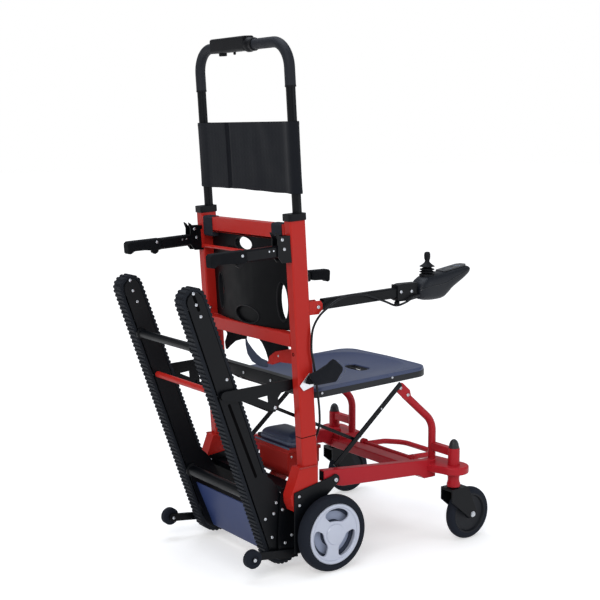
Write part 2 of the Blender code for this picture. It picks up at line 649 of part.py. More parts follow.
def make_tracks():
    """The climbing tracks: plates, belts, pulleys, cross tubes and the cover plate between them."""
    inset = 12.5
    low = circle(TRACK_PIVOT, DRIVE_RADIUS - inset, 12, 150, 190)
    top = circle(TOP_PULLEY, TOP_RADIUS - inset, 8, -19.4, 180)
    outline = low + top + [(171, 278), (142, 253), (128, 235), (102, 191), (79, 152), (61, 110)]
    pivot = (0, *TRACK_PIVOT)
    bar_hole = circle(RELEASE_BAR, RELEASE_BAR_RADIUS + 0.6)
    frame = []
    for side, word in SIDES:
        inner = [side * TRACK_INNER_X, side * (TRACK_INNER_X + TRACK_PLATE)]
        outer = [side * (TRACK_OUTER_X - TRACK_PLATE), side * TRACK_OUTER_X]
        frame.append(plate(outline, *inner, holes=[bar_hole, circle(TRACK_PIVOT, 11, 20)]))
        frame.append(rod(TOP_PULLEY, 6, side * (TRACK_INNER_X + 1), side * 185, sides=12))
        cover = plate(outline, *outer, holes=[bar_hole, circle(TRACK_PIVOT, 7.6, 20)])
        add("track_cover_" + word, cover, BLACK_STEEL, pivot)
        ends = (side * (TRACK_INNER_X + TRACK_PLATE + GAP), side * (TRACK_OUTER_X - TRACK_PLATE - GAP))
        belt = plate(track_outline(0), *ends, holes=[track_outline(BELT_THICKNESS)])
        add("track_belt_" + word, belt, RUBBER, pivot)
        tread = TOP_RADIUS - BELT_THICKNESS - 0.7
        pulley = [(6.5, side * 147), (tread, side * 147), (tread, side * 182), (6.5, side * 182)]
        pulley = turned(pulley, TOP_PULLEY, sides=24)
        add("top_pulley_" + word, pulley, BRIGHT_STEEL, (side * 164, *TOP_PULLEY))
    frame.append(rod((190, 212), 14, -141.5, 141.5))
    upper_tube = rod((338, 613), 10.5, -141.5, 141.5)
    add("track_frame", boolean(upper_tube, frame, "UNION", "MANIFOLD"), BLACK_STEEL, pivot)
    sheet = [(176, 174), (122, 40), (119.2, 41.2), (173.2, 175.2)]
    add("track_cross_plate", plate(sheet, -140.4, 140.4), NAVY_STEEL, pivot)


def make_stow_frame():
    """The red release bar through the tracks, the arms at its ends, and the long rods below the seat."""
    arm = [*circle((286, 494), 12, 6, -80, 170), (64, 514), (64, 490), (118, 482), (128, 470)]
    arm += [(126, 446), (138, 434), (152, 440), (232, 474)]
    window = [(190, 477), (160, 480), (158, 462)]
    pieces = [rod(RELEASE_BAR, RELEASE_BAR_RADIUS, -198, 198)]
    for side, word in SIDES:
        pieces.append(plate(arm, side * 196.5, side * 199.5, holes=[window]))
        line = [(side * 194.4, 138, 446), (side * 194.4, -120, 323)]
        pieces.append(sweep(line, box_section(4.8, 9, 1)))
    add("stow_frame", joined(*pieces), BLACK_STEEL, (0, *TRACK_PIVOT))


def make_front_frame():
    """Folding front frame: beams, cross member, caster sleeves, seat struts and their welded plates."""
    beam = [(-54, 212), (5, 233.5), (5, 264), (-385, 231), (-385, 182), (-345, 182), (-321, 196)]
    strut = rounded([(-411, 204), (-411, 328), (-309, 417)], 60, 3)
    gusset = [(-270, 434), (-272, 452), (-290, 457), (-318, 432), (-322, 412), (-304, 404)]
    pieces = [block((-210, -392, 180), (210, -345, 206))]
    cutters = []
    for side, word in SIDES:
        sleeve = (side * CASTER_X, CASTER_SWIVEL_Y)
        pieces.append(plate(beam, side * 206.5, side * 231.5))
        cutters.append(rod(FRONT_PIVOT, 6.5, side * 200, side * 240))
        tip = circle(sleeve, 42, 8, -100 if side > 0 else 280, 190 if side > 0 else -190)
        foot = [*tip, (side * 232, -352), (side * 172, -352), (side * 172, -440)]
        pieces.append(plate(foot, 200, 222, "Z"))
        profile = [(0, 160), (19, 160), (19, 170), (16.5, 176), (16.5, 270), (12, 270)]
        profile += [(12, 286), (0, 295)]
        pieces.append(turned(profile, sleeve, "Z", 16))
        cutters.append(rod(sleeve, 7, 150, 244, "Z"))
        pieces.append(sweep([(side * 185, *point) for point in strut], circle((0, 0), 11, 10)))
        pieces.append(plate(gusset, side * 191, side * 197))
        pieces.append(block((side * 190, -422, 246), (side * 268, -402, 268)))
        ring = [(7, side * 109), (12.5, side * 109), (12.5, side * 121), (7, side * 121)]
        pieces.append(turned(ring, FOOTREST_PIVOT, sides=12))
    add("front_frame", cut(joined(*pieces), *cutters), RED, (0, *FRONT_PIVOT))
    for side, word in SIDES:
        line = [(side * 203, -50, 262), (side * 203, -278, 457)]
        add("seat_brace_" + word, sweep(line, box_section(5.4, 14, 1)), BLACK_STEEL, (0, *FRONT_PIVOT))


def make_footrest():
    """A tubular hoop that folds up about its pivot tube."""
    y, z = FOOTREST_PIVOT
    tube = rod(FOOTREST_PIVOT, 6.4, -124, 124)
    hoop = [(98, y, z), (98, -470, z - 3), (70, -524, z - 9)]
    hoop += [(-x, along, height) for x, along, height in reversed(hoop)]
    hoop = sweep(rounded(hoop, 40, 3), circle((0, 0), 8, 8))
    add("footrest", joined(tube, hoop), RED, (0, *FOOTREST_PIVOT))


def make_casters():
    """Swivel casters: a fork with its stem and axle, and a solid wheel."""
    wheel = [(4.6, -19.4), (14, -19.4), (15, -9), (54, -9), (57, -13.5), (69, -13.5), (CASTER_RADIUS, -8)]
    wheel += [(radius, -along) for radius, along in reversed(wheel)]
    plate_shape = [(-386, 158), (-446, 158), (-479, 84), (-476, 66), (-465, 61), (-453, 66), (-386, 122)]
    for side, word in SIDES:
        swivel = (side * CASTER_X, CASTER_SWIVEL_Y)
        axle = (CASTER_AXLE_Y, CASTER_RADIUS)
        x = swivel[0]
        pieces = [block((x - 24, -446, 150.5), (x + 24, -386, 158))]
        pieces += [plate(plate_shape, x + near, x + near + 4) for near in (-24, 20)]
        pieces.append(rod(axle, 4, x - 22, x + 22))
        pieces.append(rod(swivel, 6.3, 155, 242, "Z"))
        add("caster_fork_" + word, joined(*pieces), BLACK_STEEL, (*swivel, 158))
        disc = turned([(radius, x + along) for radius, along in wheel], axle, sides=20)
        add("caster_wheel_" + word, disc, RUBBER, (x, *axle))


def smooth_route(points, step):
    """Points about a step apart on a Catmull-Rom curve through the route's own points."""
    knots = [Vector(point) for point in points]
    knots = [2 * knots[0] - knots[1], *knots, 2 * knots[-1] - knots[-2]]
    dense = []
    for a, b, c, d in zip(knots, knots[1:], knots[2:], knots[3:]):
        square = 2 * a - 5 * b + 4 * c - d
        cube = 3 * b - a - 3 * c + d
        for index in range(24):
            t = index / 24
            dense.append(0.5 * (2 * b + (c - a) * t + square * t ** 2 + cube * t ** 3))
    dense.append(knots[-2])
    lengths = [0.0]
    for start, end in zip(dense, dense[1:]):
        lengths.append(lengths[-1] + (end - start).length)
    count = round(lengths[-1] / step)
    marks = [lengths[-1] * index / count for index in range(count + 1)]
    result = []
    index = 0
    for mark in marks:
        while index < len(lengths) - 2 and lengths[index + 1] < mark:
            index += 1
        share = (mark - lengths[index]) / (lengths[index + 1] - lengths[index])
        result.append(dense[index].lerp(dense[index + 1], share))
    return result


def make_cable():
    """The controller's cable: along the armrest, down the upright and into the drive housing."""
    route = [(-236, -314.8, 703), (-236, -304, 703), (-237, -290, 699), (-237, -262, 687), (-236, -231, 682)]
    route += [(-236, -196, 695), (-236, -147, 713), (-236, -113, 721), (-236, -71, 722)]
    route += [(-237, -34, 713), (-238, -1, 696)]
    route += [(-238, 24, 678), (-238, 42, 654), (-238, 49, 628), (-238, 50, 588), (-238, 44, 558)]
    route += [(-239, 37, 512), (-238, 30, 469), (-236, 24, 428), (-228, 18, 392), (-208, 12, 358)]
    route += [(-178, 4, 326), (-148, -8, 288), (-124, -16, 258), (-113, -17, 254), (-105.7, -17, 254)]
    spline_points = smooth_route([Vector(point) * MM for point in route], CABLE_STEP * MM)
    curve = bpy.data.curves.new("controller_cable", "CURVE")
    curve.dimensions = "3D"
    curve.bevel_depth = CABLE_RADIUS * MM
    curve.bevel_resolution = 2
    curve.use_fill_caps = True
    spline = curve.splines.new("POLY")
    spline.points.add(len(spline_points) - 1)
    for knot, point in zip(spline.points, spline_points):
        knot.co = (*point, 1)
    curve.materials.append(BLACK_PLASTIC)
    cable = bpy.data.objects.new("controller_cable", curve)
    bpy.context.scene.collection.objects.link(cable)
    cable.parent = CHAIR


clear_scene()
CHAIR = bpy.data.objects.new("chair", None)
CHAIR.location = (0, AXLE_Y * MM, 0)
bpy.context.scene.collection.objects.link(CHAIR)

RED = finish("red_enamel", "#B82C26", 0.1, 0.35)
BLACK_STEEL = finish("black_enamel", "#1B1D22", 0.2, 0.45)
BLACK_PLASTIC = finish("black_plastic", "#17191D", 0.0, 0.5)
SEAT_PLASTIC = finish("seat_plastic", "#2A3040", 0.0, 0.35)
FOAM_RUBBER = finish("foam_rubber", "#17181C", 0.0, 0.85)
NYLON = finish("nylon_cloth", "#1A1B20", 0.0, 0.9)
RUBBER = finish("rubber", "#262A33", 0.0, 0.8)
RIM_PAINT = finish("silver_enamel", "#B7BFDC", 0.4, 0.4)
NAVY_STEEL = finish("navy_enamel", "#36415F", 0.2, 0.45)
BRIGHT_STEEL = finish("bright_steel", "#9A9CA0", 1.0, 0.35)

make_uprights()
make_upright_caps()
make_back_bars()
make_back_panel()
make_lift_handles()
make_push_handle()
make_headrest()
make_armrests()
make_controller()
make_seat()
make_base()
make_rear_wheels()
make_drive()
make_tracks()
make_stow_frame()
make_front_frame()
make_footrest()
make_casters()
make_cable()
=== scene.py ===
"""Looks of a stair climbing chair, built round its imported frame.

Sizes are in millimetres from the middle of the rear wheels' axle, with the front of the chair at -Y, the
sitter's left at +X and up at +Z. piece() turns them into metres in the frame's own place.
"""

import math

import bmesh
import bpy
import numpy as np
from mathutils import Matrix, Vector


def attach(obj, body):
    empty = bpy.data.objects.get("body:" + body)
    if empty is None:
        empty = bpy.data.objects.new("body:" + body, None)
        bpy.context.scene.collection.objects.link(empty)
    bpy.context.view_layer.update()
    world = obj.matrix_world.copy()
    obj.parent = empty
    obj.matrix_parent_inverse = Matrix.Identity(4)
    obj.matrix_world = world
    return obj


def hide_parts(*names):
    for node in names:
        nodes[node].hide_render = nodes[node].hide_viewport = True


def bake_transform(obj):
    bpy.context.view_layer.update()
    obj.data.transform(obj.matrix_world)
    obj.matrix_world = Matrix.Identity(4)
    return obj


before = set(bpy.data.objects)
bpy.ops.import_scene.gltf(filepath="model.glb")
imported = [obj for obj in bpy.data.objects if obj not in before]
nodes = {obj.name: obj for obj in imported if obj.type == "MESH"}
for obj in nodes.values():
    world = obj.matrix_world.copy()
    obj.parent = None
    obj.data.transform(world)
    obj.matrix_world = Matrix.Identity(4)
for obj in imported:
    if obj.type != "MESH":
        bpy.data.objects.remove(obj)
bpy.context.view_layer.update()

# Camera: stands behind the chair on the sitter's right, at the height of the headrest, and looks slightly
# down. The focal length is in widths of the picture.
MM = 0.001
AXLE_Y = 71.5
FOCAL_WIDTHS = 1195.623 / 600
SENSOR = 36.0
camera_place = Vector((-2674.96, 1815.446 + AXLE_Y, 1142.878)) * MM
yaw, pitch, roll = (math.radians(angle) for angle in (54.634, 7.984, 0.213))
ahead = Vector((math.sin(yaw) * math.cos(pitch), -math.cos(yaw) * math.cos(pitch), -math.sin(pitch)))
right = ahead.cross(Vector((0, 0, 1))).normalized()
down = ahead.cross(right)
across = right * math.cos(roll) + down * math.sin(roll)
under = down * math.cos(roll) - right * math.sin(roll)
camera = bpy.data.objects.new("camera", bpy.data.cameras.new("camera"))
camera.data.lens = FOCAL_WIDTHS * SENSOR
camera.data.sensor_width = SENSOR
turned = Matrix((across, -under, -ahead)).transposed().to_4x4()
camera.matrix_world = Matrix.Translation(camera_place) @ turned
bpy.context.scene.collection.objects.link(camera)
bpy.context.scene.camera = camera

# Controller cable: a round black PVC lead, moulded into the controller and clamped in the drive housing.
# It hangs in a shallow loop under the armrest and falls beside the upright. Satin, with faint dirt.
GRAIN_DEPTH = 0.3


def linear(colour):
    """An sRGB hex colour as linear red, green, blue and alpha."""
    channels = [int(colour[index:index + 2], 16) / 255 for index in (1, 3, 5)]
    return (*[c / 12.92 if c <= 0.04045 else ((c + 0.055) / 1.055) ** 2.4 for c in channels], 1.0)


def node(tree, kind, inputs=(), **settings):
    """Add a node with its settings; a socket given for an input is linked, and a value fills it."""
    made = tree.nodes.new(kind)
    for key, value in settings.items():
        setattr(made, key, value)
    for key, value in dict(inputs).items():
        if isinstance(value, bpy.types.NodeSocket):
            tree.links.new(value, made.inputs[key])
        else:
            made.inputs[key].default_value = value
    return made


def grained(name, slot, colour, roughness, metallic=0.0, grain=1.6, bump=0.15, blotch=90.0, contrast=0.12,
            specular=0.5, **sockets):
    """A material; the slot is not used. Its colour and gloss cloud over `blotch` mm, and its surface has
    a grain of `grain` mm, both on Object coordinates."""
    material = bpy.data.materials.new(name)
    material.use_nodes = True
    tree = material.node_tree
    shader = tree.nodes["Principled BSDF"]
    place = node(tree, "ShaderNodeTexCoord").outputs["Object"]
    cloud = node(tree, "ShaderNodeTexNoise", {"Vector": place, "Scale": 1000 / blotch, "Detail": 4.0})
    base = linear(colour)
    dark = tuple(c * (1 - contrast) for c in base[:3]) + (1.0,)
    light = tuple(min(1.0, c * (1 + contrast)) for c in base[:3]) + (1.0,)
    tint = node(tree, "ShaderNodeMix", {"Factor": cloud.outputs["Fac"], "A": dark, "B": light},
                data_type="RGBA")
    fine = node(tree, "ShaderNodeTexNoise", {"Vector": place, "Scale": 1000 / grain, "Detail": 2.0})
    rough = node(tree, "ShaderNodeMapRange", {"Value": cloud.outputs["Fac"], "From Min": 0.3, "From Max": 0.7,
                                              "To Min": roughness - 0.06, "To Max": roughness + 0.06})
    relief = node(tree, "ShaderNodeBump", {"Height": fine.outputs["Fac"], "Strength": bump,
                                           "Distance": grain * MM * GRAIN_DEPTH})
    tree.links.new(tint.outputs["Result"], shader.inputs["Base Color"])
    tree.links.new(rough.outputs["Result"], shader.inputs["Roughness"])
    tree.links.new(relief.outputs["Normal"], shader.inputs["Normal"])
    values = {"Metallic": metallic, "Specular IOR Level": specular, **sockets}
    for key, value in values.items():
        shader.inputs[key.replace("_", " ")].default_value = value
    return material


def placed(name, mesh, material, body):
    """The mesh as an object that rides on the body, unless there is none, in its material's slot."""
    made = bpy.data.objects.new(name, mesh)
    bpy.context.scene.collection.objects.link(made)
    made.data.materials.append(material)
    if body:
        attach(made, body)
    return made


def even_shading(shown):
    """Let large faces lead the shading, so that round edges leave them flat."""
    shown.modifiers.new("even shading", "WEIGHTED_NORMAL").keep_sharp = True


def piece(name, shapes, material, body="chassis", stands_for=None, crease=38):
    """One object of closed skins. A skin is rows of points in mm; each row closes on itself and joins the
    next by quads, and the first and the last row are filled, unless they are the same row."""
    points, faces, start = [], [], 0
    for rows in shapes:
        rows = np.asarray(rows, float)
        count, around = rows.shape[:2]
        index = start + np.arange(count * around).reshape(count, around)
        following = np.roll(index, -1, axis=1)
        quads = np.stack([index[:-1], following[:-1], following[1:], index[1:]], axis=-1)
        faces += quads.reshape(-1, 4).tolist()
        if not np.allclose(rows[0], rows[-1]):
            faces += [index[0, ::-1].tolist(), index[-1].tolist()]
        points.append(rows.reshape(-1, 3))
        start += count * around
    mesh = bpy.data.meshes.new(name)
    mesh.from_pydata(((np.concatenate(points) + (0, AXLE_Y, 0)) * MM).tolist(), [], faces)
    shape = bmesh.new()
    shape.from_mesh(mesh)
    bmesh.ops.remove_doubles(shape, verts=shape.verts[:], dist=2e-6)
    bmesh.ops.recalc_face_normals(shape, faces=shape.faces[:])
    shape.to_mesh(mesh)
    shape.free()
    mesh.shade_smooth()
    mesh.set_sharp_from_angle(angle=math.radians(crease))
    made = placed(name, mesh, material, body)
    even_shading(made)
    if stands_for:
        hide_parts(stands_for)
    return made


def across_joint(shown, start, end):
    """Bake the world place of a piece that rides on nothing yet into its mesh. The two places in mm are not
    used.
    """
    start, end = (tuple(c * MM for c in (x, y + AXLE_Y, z)) for x, y, z in (start, end))
    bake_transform(shown)


def arc(radius, angles):
    """Points about (0, 0): radius times the cosine and the sine of the angles."""
    return radius * np.stack([np.cos(angles), np.sin(angles)], axis=1)


def circle(radius, sides=32):
    """Points of a circle about (0, 0), at even angles."""
    return arc(radius, np.linspace(0, 2 * np.pi, sides, endpoint=False))


def unit(vectors):
    """Each vector over its own length."""
    return vectors / np.linalg.norm(vectors, axis=-1, keepdims=True)


def sweep(path, profile, sizes=1.0):
    """The profile carried along the path: each row is path + size * (side * across + rise * up), and the
    side turns the least from row to row."""
    path = np.asarray(path, float)
    runs = unit(np.diff(path, axis=0))
    along = unit(np.vstack([runs[:1], runs[:-1] + runs[1:], runs[-1:]]))
    side = np.cross(along[0], (0, 0, 1) if abs(along[0][2]) < 0.9 else (1, 0, 0))
    sides = []
    for direction in along:
        side = unit(side - direction * side.dot(direction))
        sides.append(side)
    sides = np.array(sides)
    rises = np.cross(sides, along)
    spread = profile * np.broadcast_to(sizes, len(path))[:, None, None]
    return path[:, None] + sides[:, None] * spread[..., :1] + rises[:, None] * spread[..., 1:]


def evenly(line, spacing):
    """Points about a spacing apart along a line of points, and the line's length."""
    lengths = np.concatenate([[0], np.cumsum(np.linalg.norm(np.diff(line, axis=0), axis=1))])
    marks = np.linspace(0, lengths[-1], round(lengths[-1] / spacing) + 1)
    return np.stack([np.interp(marks, lengths, column) for column in line.T], axis=1), lengths[-1]


def smooth_route(knots, step):
    """Points about a step apart on the Catmull-Rom curve through the knots."""
    knots = np.asarray(knots, float)
    knots = np.vstack([2 * knots[0] - knots[1], knots, 2 * knots[-1] - knots[-2]])
    a, b, c, d = (knots[i:len(knots) - 3 + i, None] for i in range(4))
    t = np.arange(24)[None, :, None] / 24
    dense = 2 * b + (c - a) * t + (2 * a - 5 * b + 4 * c - d) * t ** 2 + (3 * b - a - 3 * c + d) * t ** 3
    return evenly(np.vstack([0.5 * dense.reshape(-1, 3), knots[-2]]), step)[0]


PVC = grained("black_pvc", "black_plastic", "#0F1115", 0.42, grain=2.0, bump=0.05, specular=0.2)
CABLE_RADIUS = 3.0
cable_knots = [(-236, -314.8, 703), (-236, -304, 703), (-237, -290, 699), (-237, -262, 687),
               (-236, -231, 682), (-236, -196, 695), (-236, -147, 713), (-236, -113, 721), (-236, -71, 722),
               (-237, -34, 713),
               (-238, -1, 696), (-238, 24, 678), (-238, 42, 654), (-238, 49, 628), (-238, 50, 588),
               (-238, 44, 558), (-239, 37, 512), (-238, 30, 469), (-236, 24, 428), (-228, 18, 392),
               (-208, 12, 358), (-178, 4, 326), (-148, -8, 288), (-124, -16, 258), (-113, -17, 254),
               (-105.7, -17, 254)]
cable_route = smooth_route(cable_knots, 6)
cable = piece("controller_lead", [sweep(cable_route, circle(CABLE_RADIUS, 16))], PVC, None,
              "controller_cable")
across_joint(cable, (-237, -17, 710), (-237, -95, 710))


# Back of the frame: two rectangular steel tubes and two crossbars, welded, and powder-coated in red.
# The coat is glossy with a faint orange peel, drawn at 4 mm so that it shows; the tubes' corners are rounded.
def soft_edges(shown, width, segments):
    """Round the edges of an object that turn by more than 35 degrees."""
    bevel = shown.modifiers.new("edge", "BEVEL")
    bevel.width = width * MM
    bevel.segments = segments
    bevel.limit_method = "ANGLE"
    bevel.angle_limit = math.radians(35)
    bevel.harden_normals = False


def dressed(name, material, edge=1.2):
    """Give a node of the frame its finish, and round its edges."""
    shown = nodes[name]
    shown.data.materials.clear()
    shown.data.materials.append(material)
    shown.data.shade_smooth()
    weld = shown.modifiers.new("weld", "WELD")
    weld.merge_threshold = 0.00005
    flat = shown.modifiers.new("flat faces", "DECIMATE")
    flat.decimate_type = "DISSOLVE"
    flat.angle_limit = math.radians(1)
    soft_edges(shown, edge, 2)
    even_shading(shown)


def corner_arc(point, before, after, radius, steps, reach=math.inf):
    """Points of the arc that rounds a corner, turned about the arc's own centre from one leg to the other.
    The arc takes no more of a leg than the reach."""
    back, fore = unit(before - point), unit(after - point)
    half = math.acos(np.clip(back @ fore, -1, 1)) / 2
    length = min(radius / math.tan(half), reach)
    centre = point + unit(back + fore) * length / math.cos(half)
    first, last = point + back * length - centre, point + fore * length - centre
    turn = math.pi - 2 * half
    share = np.linspace(0, 1, steps + 1)[:, None]
    return centre + (first * np.sin((1 - share) * turn) + last * np.sin(share * turn)) / math.sin(turn)


def outline(corners, radius, steps=6):
    """A flat outline whose corners are arcs. No arc takes more than 49% of a side."""
    corners = np.asarray(corners, float)
    radii = np.broadcast_to(radius, len(corners))
    before, after = np.roll(corners, 1, 0), np.roll(corners, -1, 0)
    sides = [np.linalg.norm(ends - corners, axis=1) for ends in (before, after)]
    reach = 0.49 * np.minimum(*sides)
    return np.vstack([corner_arc(*spots, steps, most)
                      for *spots, most in zip(corners, before, after, radii, reach)])


def rectangle(low, high, radius, steps=6):
    """The outline of a rectangle between two opposite corners, with round corners."""
    (x, y), (far_x, far_y) = low, high
    return outline([(x, y), (far_x, y), (far_x, far_y), (x, far_y)], radius, steps)


def along_axis(axis, flat, depth):
    """Flat points and their depths along an axis, as x, y and z."""
    order = {"X": (2, 0, 1), "Y": (0, 2, 1), "Z": (0, 1, 2)}[axis]
    return np.stack([(flat[..., 0], flat[..., 1], depth)[i] for i in order], axis=-1)


def slab(flat, low, high, axis="X", edge=1.5, steps=3):
    """A flat outline carried along an axis, with round edges: each row is the outline drawn in by
    edge * (1 - sin t) at depth edge * (1 - cos t)."""
    flat = np.asarray(flat, float)
    ahead_of = np.roll(flat, -1, 0) - flat
    if np.sum(flat[:, 0] * np.roll(flat[:, 1], -1) - np.roll(flat[:, 0], -1) * flat[:, 1]) < 0:
        ahead_of = -ahead_of
    normal = unit(np.stack([-ahead_of[:, 1], ahead_of[:, 0]], axis=1))
    inward = normal + np.roll(normal, 1, 0)
    inward /= (1 + np.sum(normal * np.roll(normal, 1, 0), axis=1))[:, None]
    t = np.linspace(0, np.pi / 2, steps + 1)
    drawn_in = np.concatenate([edge * (1 - np.sin(t)), edge * (1 - np.sin(t[::-1]))])
    low, high = min(low, high), max(low, high)
    depth = np.concatenate([low + edge * (1 - np.cos(t)), high - edge * (1 - np.cos(t[::-1]))])
    rows = flat[None] + inward[None] * drawn_in[:, None, None]
    return along_axis(axis, rows, np.broadcast_to(depth[:, None], rows.shape[:2]))


def lathe(profile, centre, axis="X", sides=48):
    """Pairs of (radius, distance along the axis) turned about the axis through the centre."""
    profile = np.asarray(profile, float)
    flat = profile[:, None, :1] * circle(1, sides)[None] + np.asarray(centre, float)
    return along_axis(axis, flat, np.broadcast_to(profile[:, 1:], flat.shape[:2]))


BACK_LEAN = math.radians(3.376)
BACK_FOOT_Y = 31.0


def leaned(rows):
    """Rows drawn upright, with Y behind the uprights' middle plane, turned to the lean of the back."""
    rows = np.asarray(rows, float)
    y = BACK_FOOT_Y + rows[..., 1] * math.cos(BACK_LEAN) + rows[..., 2] * math.sin(BACK_LEAN)
    z = rows[..., 2] * math.cos(BACK_LEAN) - rows[..., 1] * math.sin(BACK_LEAN)
    return np.stack([rows[..., 0], y, z], axis=-1)


SIDES = ((-1, "right"), (1, "left"))
RED = grained("red_powder_coat", "red_enamel", "#BA261F", 0.36, grain=4.0, bump=0.06, blotch=160,
              contrast=0.07, specular=0.17)
WELD_RED = grained("red_coat_on_weld", "red_enamel", "#A3241D", 0.4, grain=3.0, bump=0.6, blotch=20,
                   contrast=0.2)
SEAM = grained("joint_in_red_coat", "red_enamel", "#1C0605", 0.8, grain=2.0, specular=0.1)
ABS = grained("moulded_abs", "black_plastic", "#0A0B0F", 0.45, bump=0.2, blotch=60, contrast=0.15,
              specular=0.14)
UPRIGHT_X = 215.0
BEAD_POINTS = 12
bead_swell = 1 + 0.18 * np.sin(np.arange(BEAD_POINTS) * 2.1)
for side, word in SIDES:
    dressed("upright_" + word, RED, 1.6)
    dressed("upright_cap_" + word, ABS, 1.8)
    ring = rectangle((-15.15, -24.15), (15.15, 24.15), 4) + (side * UPRIGHT_X, 0)
    piece("upright_seam_" + word, [leaned(slab(ring, 362.6, 365.0, "Z", 0.3))], SEAM)
    bead = [(side * 232.3, y, 283.2) for y in np.linspace(30, 86, BEAD_POINTS)]
    piece("upright_weld_" + word, [sweep(bead, circle(2.4, 12), bead_swell)], WELD_RED)
for name in ("back_top_crossbar", "back_lower_crossbar"):
    dressed(name, RED, 1.8)

# Bolts: zinc-plated socket screws with domed heads. They are small mirrors, greyed by the plating.
# Each lies on the face of what it holds, turned outwards, inwards or to the rear.
ZINC = grained("zinc_plate", "bright_steel", "#C4C7CC", 0.28, 0.9, grain=1.0, bump=0.1, blotch=15)


def bolts(name, places, body="chassis", radius=5.0, height=3.6, axis="X", way=1):
    """Domed heads at (x, y, z) on faces across X, turned outwards from the middle of the chair, or inwards
    where the way is -1, or across Y, turned to the rear. The dome is an ellipse's quarter round a socket."""
    t = np.linspace(0, np.pi / 2, 6)
    shapes = []
    for x, y, z in places:
        face, out, centre = (x, way * np.sign(x), (y, z)) if axis == "X" else (y, 1, (x, z))
        socket = [(0, 0.45 * height), (radius * 0.42, 0.45 * height), (radius * 0.46, 0.97 * height)]
        dome = [(radius * math.cos(a), height * (0.35 + 0.62 * math.sin(a))) for a in t[:-1]][::-1]
        profile = [(r, face + out * h) for r, h in [*socket, *dome, (radius, -0.4)]]
        shapes.append(lathe(profile, centre, axis, sides=20))
    return piece(name, shapes, ZINC, body)


def both(x, *spots):
    """Places with the same y and z on the right and on the left."""
    return [(side * x, y, z) for side in (-1, 1) for y, z in spots]


bolts("upright_bolts", both(237.0, (90, 211), (89, 187)), radius=4.2)
bolts("inner_plate_bolts", both(195.8, (93, 214), (91, 189), (86, 97), (107, 79.5), (115, 171)), radius=4.2)
bolts("inner_plate_nuts", both(192.2, (97, 215), (96, 192)), radius=4.0, way=-1)
bolts("armrest_hinge_bolts", both(228.9, (22, 699)))
bolts("upright_inner_bolts", both(199.8, (85.5, 654)), radius=3.8, height=3.0, way=-1)
ring = [(2.6, 88.6), (4.6, 88.6), (4.6, 89.8), (2.6, 89.8), (2.6, 88.6)]
piece("upright_rear_rings", [lathe(ring, (x, 580), "Y", 20) for x in (-212.5, 212.5)], SEAM)

# Straps: flat polyester webbing, folded round the top crossbar and stitched. Dark grey, dull, with a rib.
# The right one hangs a little less far down than the left one.
WEBBING = grained("polyester_webbing", "nylon_cloth", "#282B32", 0.8, grain=3.0, bump=0.6, blotch=25,
                  contrast=0.2, specular=0.1)
for low_x, high_x, low_z, name in ((-192, -146, 874, "strap_loop_right"), (146, 192, 862, "strap_loop_left")):
    loop = rectangle((-2.4, low_z), (26.6, 918.4), 7)
    piece(name, [leaned(slab(loop, low_x, high_x, "X", 1.6))], WEBBING)

# Back panel: a bowed, blow-moulded shell of black plastic with three hand holes and a blind recess, each
# with a rolled lip. Matt with a fine grain, drawn at 1.6 mm. It sits between the uprights.
PANEL_ABS = grained("panel_abs", "black_plastic", "#08090C", 0.5, bump=0.2, blotch=60,
                    contrast=0.15, specular=0.07)
dressed("back_panel", PANEL_ABS, 1.5)
PANEL_REAR, PANEL_BOW, PANEL_HALF = 20.0, 26.0, 199.7
LIP_RADIUS = 2.4


def along_and_out(flat):
    """Unit vectors along a closed flat line, and square to it, outwards if the line turns to the left."""
    along = unit(np.roll(flat, -1, 0) - np.roll(flat, 1, 0))
    return along, np.stack([along[:, 1], -along[:, 0]], axis=1)


def lip(centre, width, height):
    """A round lip along a hand hole: a circle carried round the ellipse, on the panel's rear face, whose
    depth is the bow times the square of x."""
    flat = circle(1, 96) * (width / 2 + LIP_RADIUS, height / 2 + LIP_RADIUS) + centre
    ring = circle(LIP_RADIUS, 12)
    rows = flat[:, None] + along_and_out(flat)[1][:, None] * ring[None, :, :1]
    depth = PANEL_REAR - 0.8 - PANEL_BOW * (rows[..., 0] / PANEL_HALF) ** 2 + ring[None, :, 1]
    rows = np.stack([rows[..., 0], depth, rows[..., 1]], axis=-1)
    return leaned(np.concatenate([rows, rows[:1]]))


holes = [((0, 853), 80, 36), ((4, 661), 110, 44), ((150, 709.5), 36, 100), ((-150, 709.5), 36, 100)]
piece("back_panel_lips", [lip(*hole) for hole in holes], ABS)

# Bar behind the seat: a square steel tube with the seat's hinges, bolted through from the rear.
# The steel has a satin black powder coat with a fine texture.
BLACK = grained("black_powder_coat", "black_enamel", "#090B0F", 0.36, grain=2.4, bump=0.12, blotch=120,
                contrast=0.14, specular=0.14)
dressed("seat_rear_bar", BLACK, 6.0)
bolts("seat_bar_bolts", both(67, (62, 485)), radius=4.0, height=2.6, axis="Y")
bolts("stay_screws", [(-90, 52.2, 554)], radius=3.0, height=1.6, axis="Y")
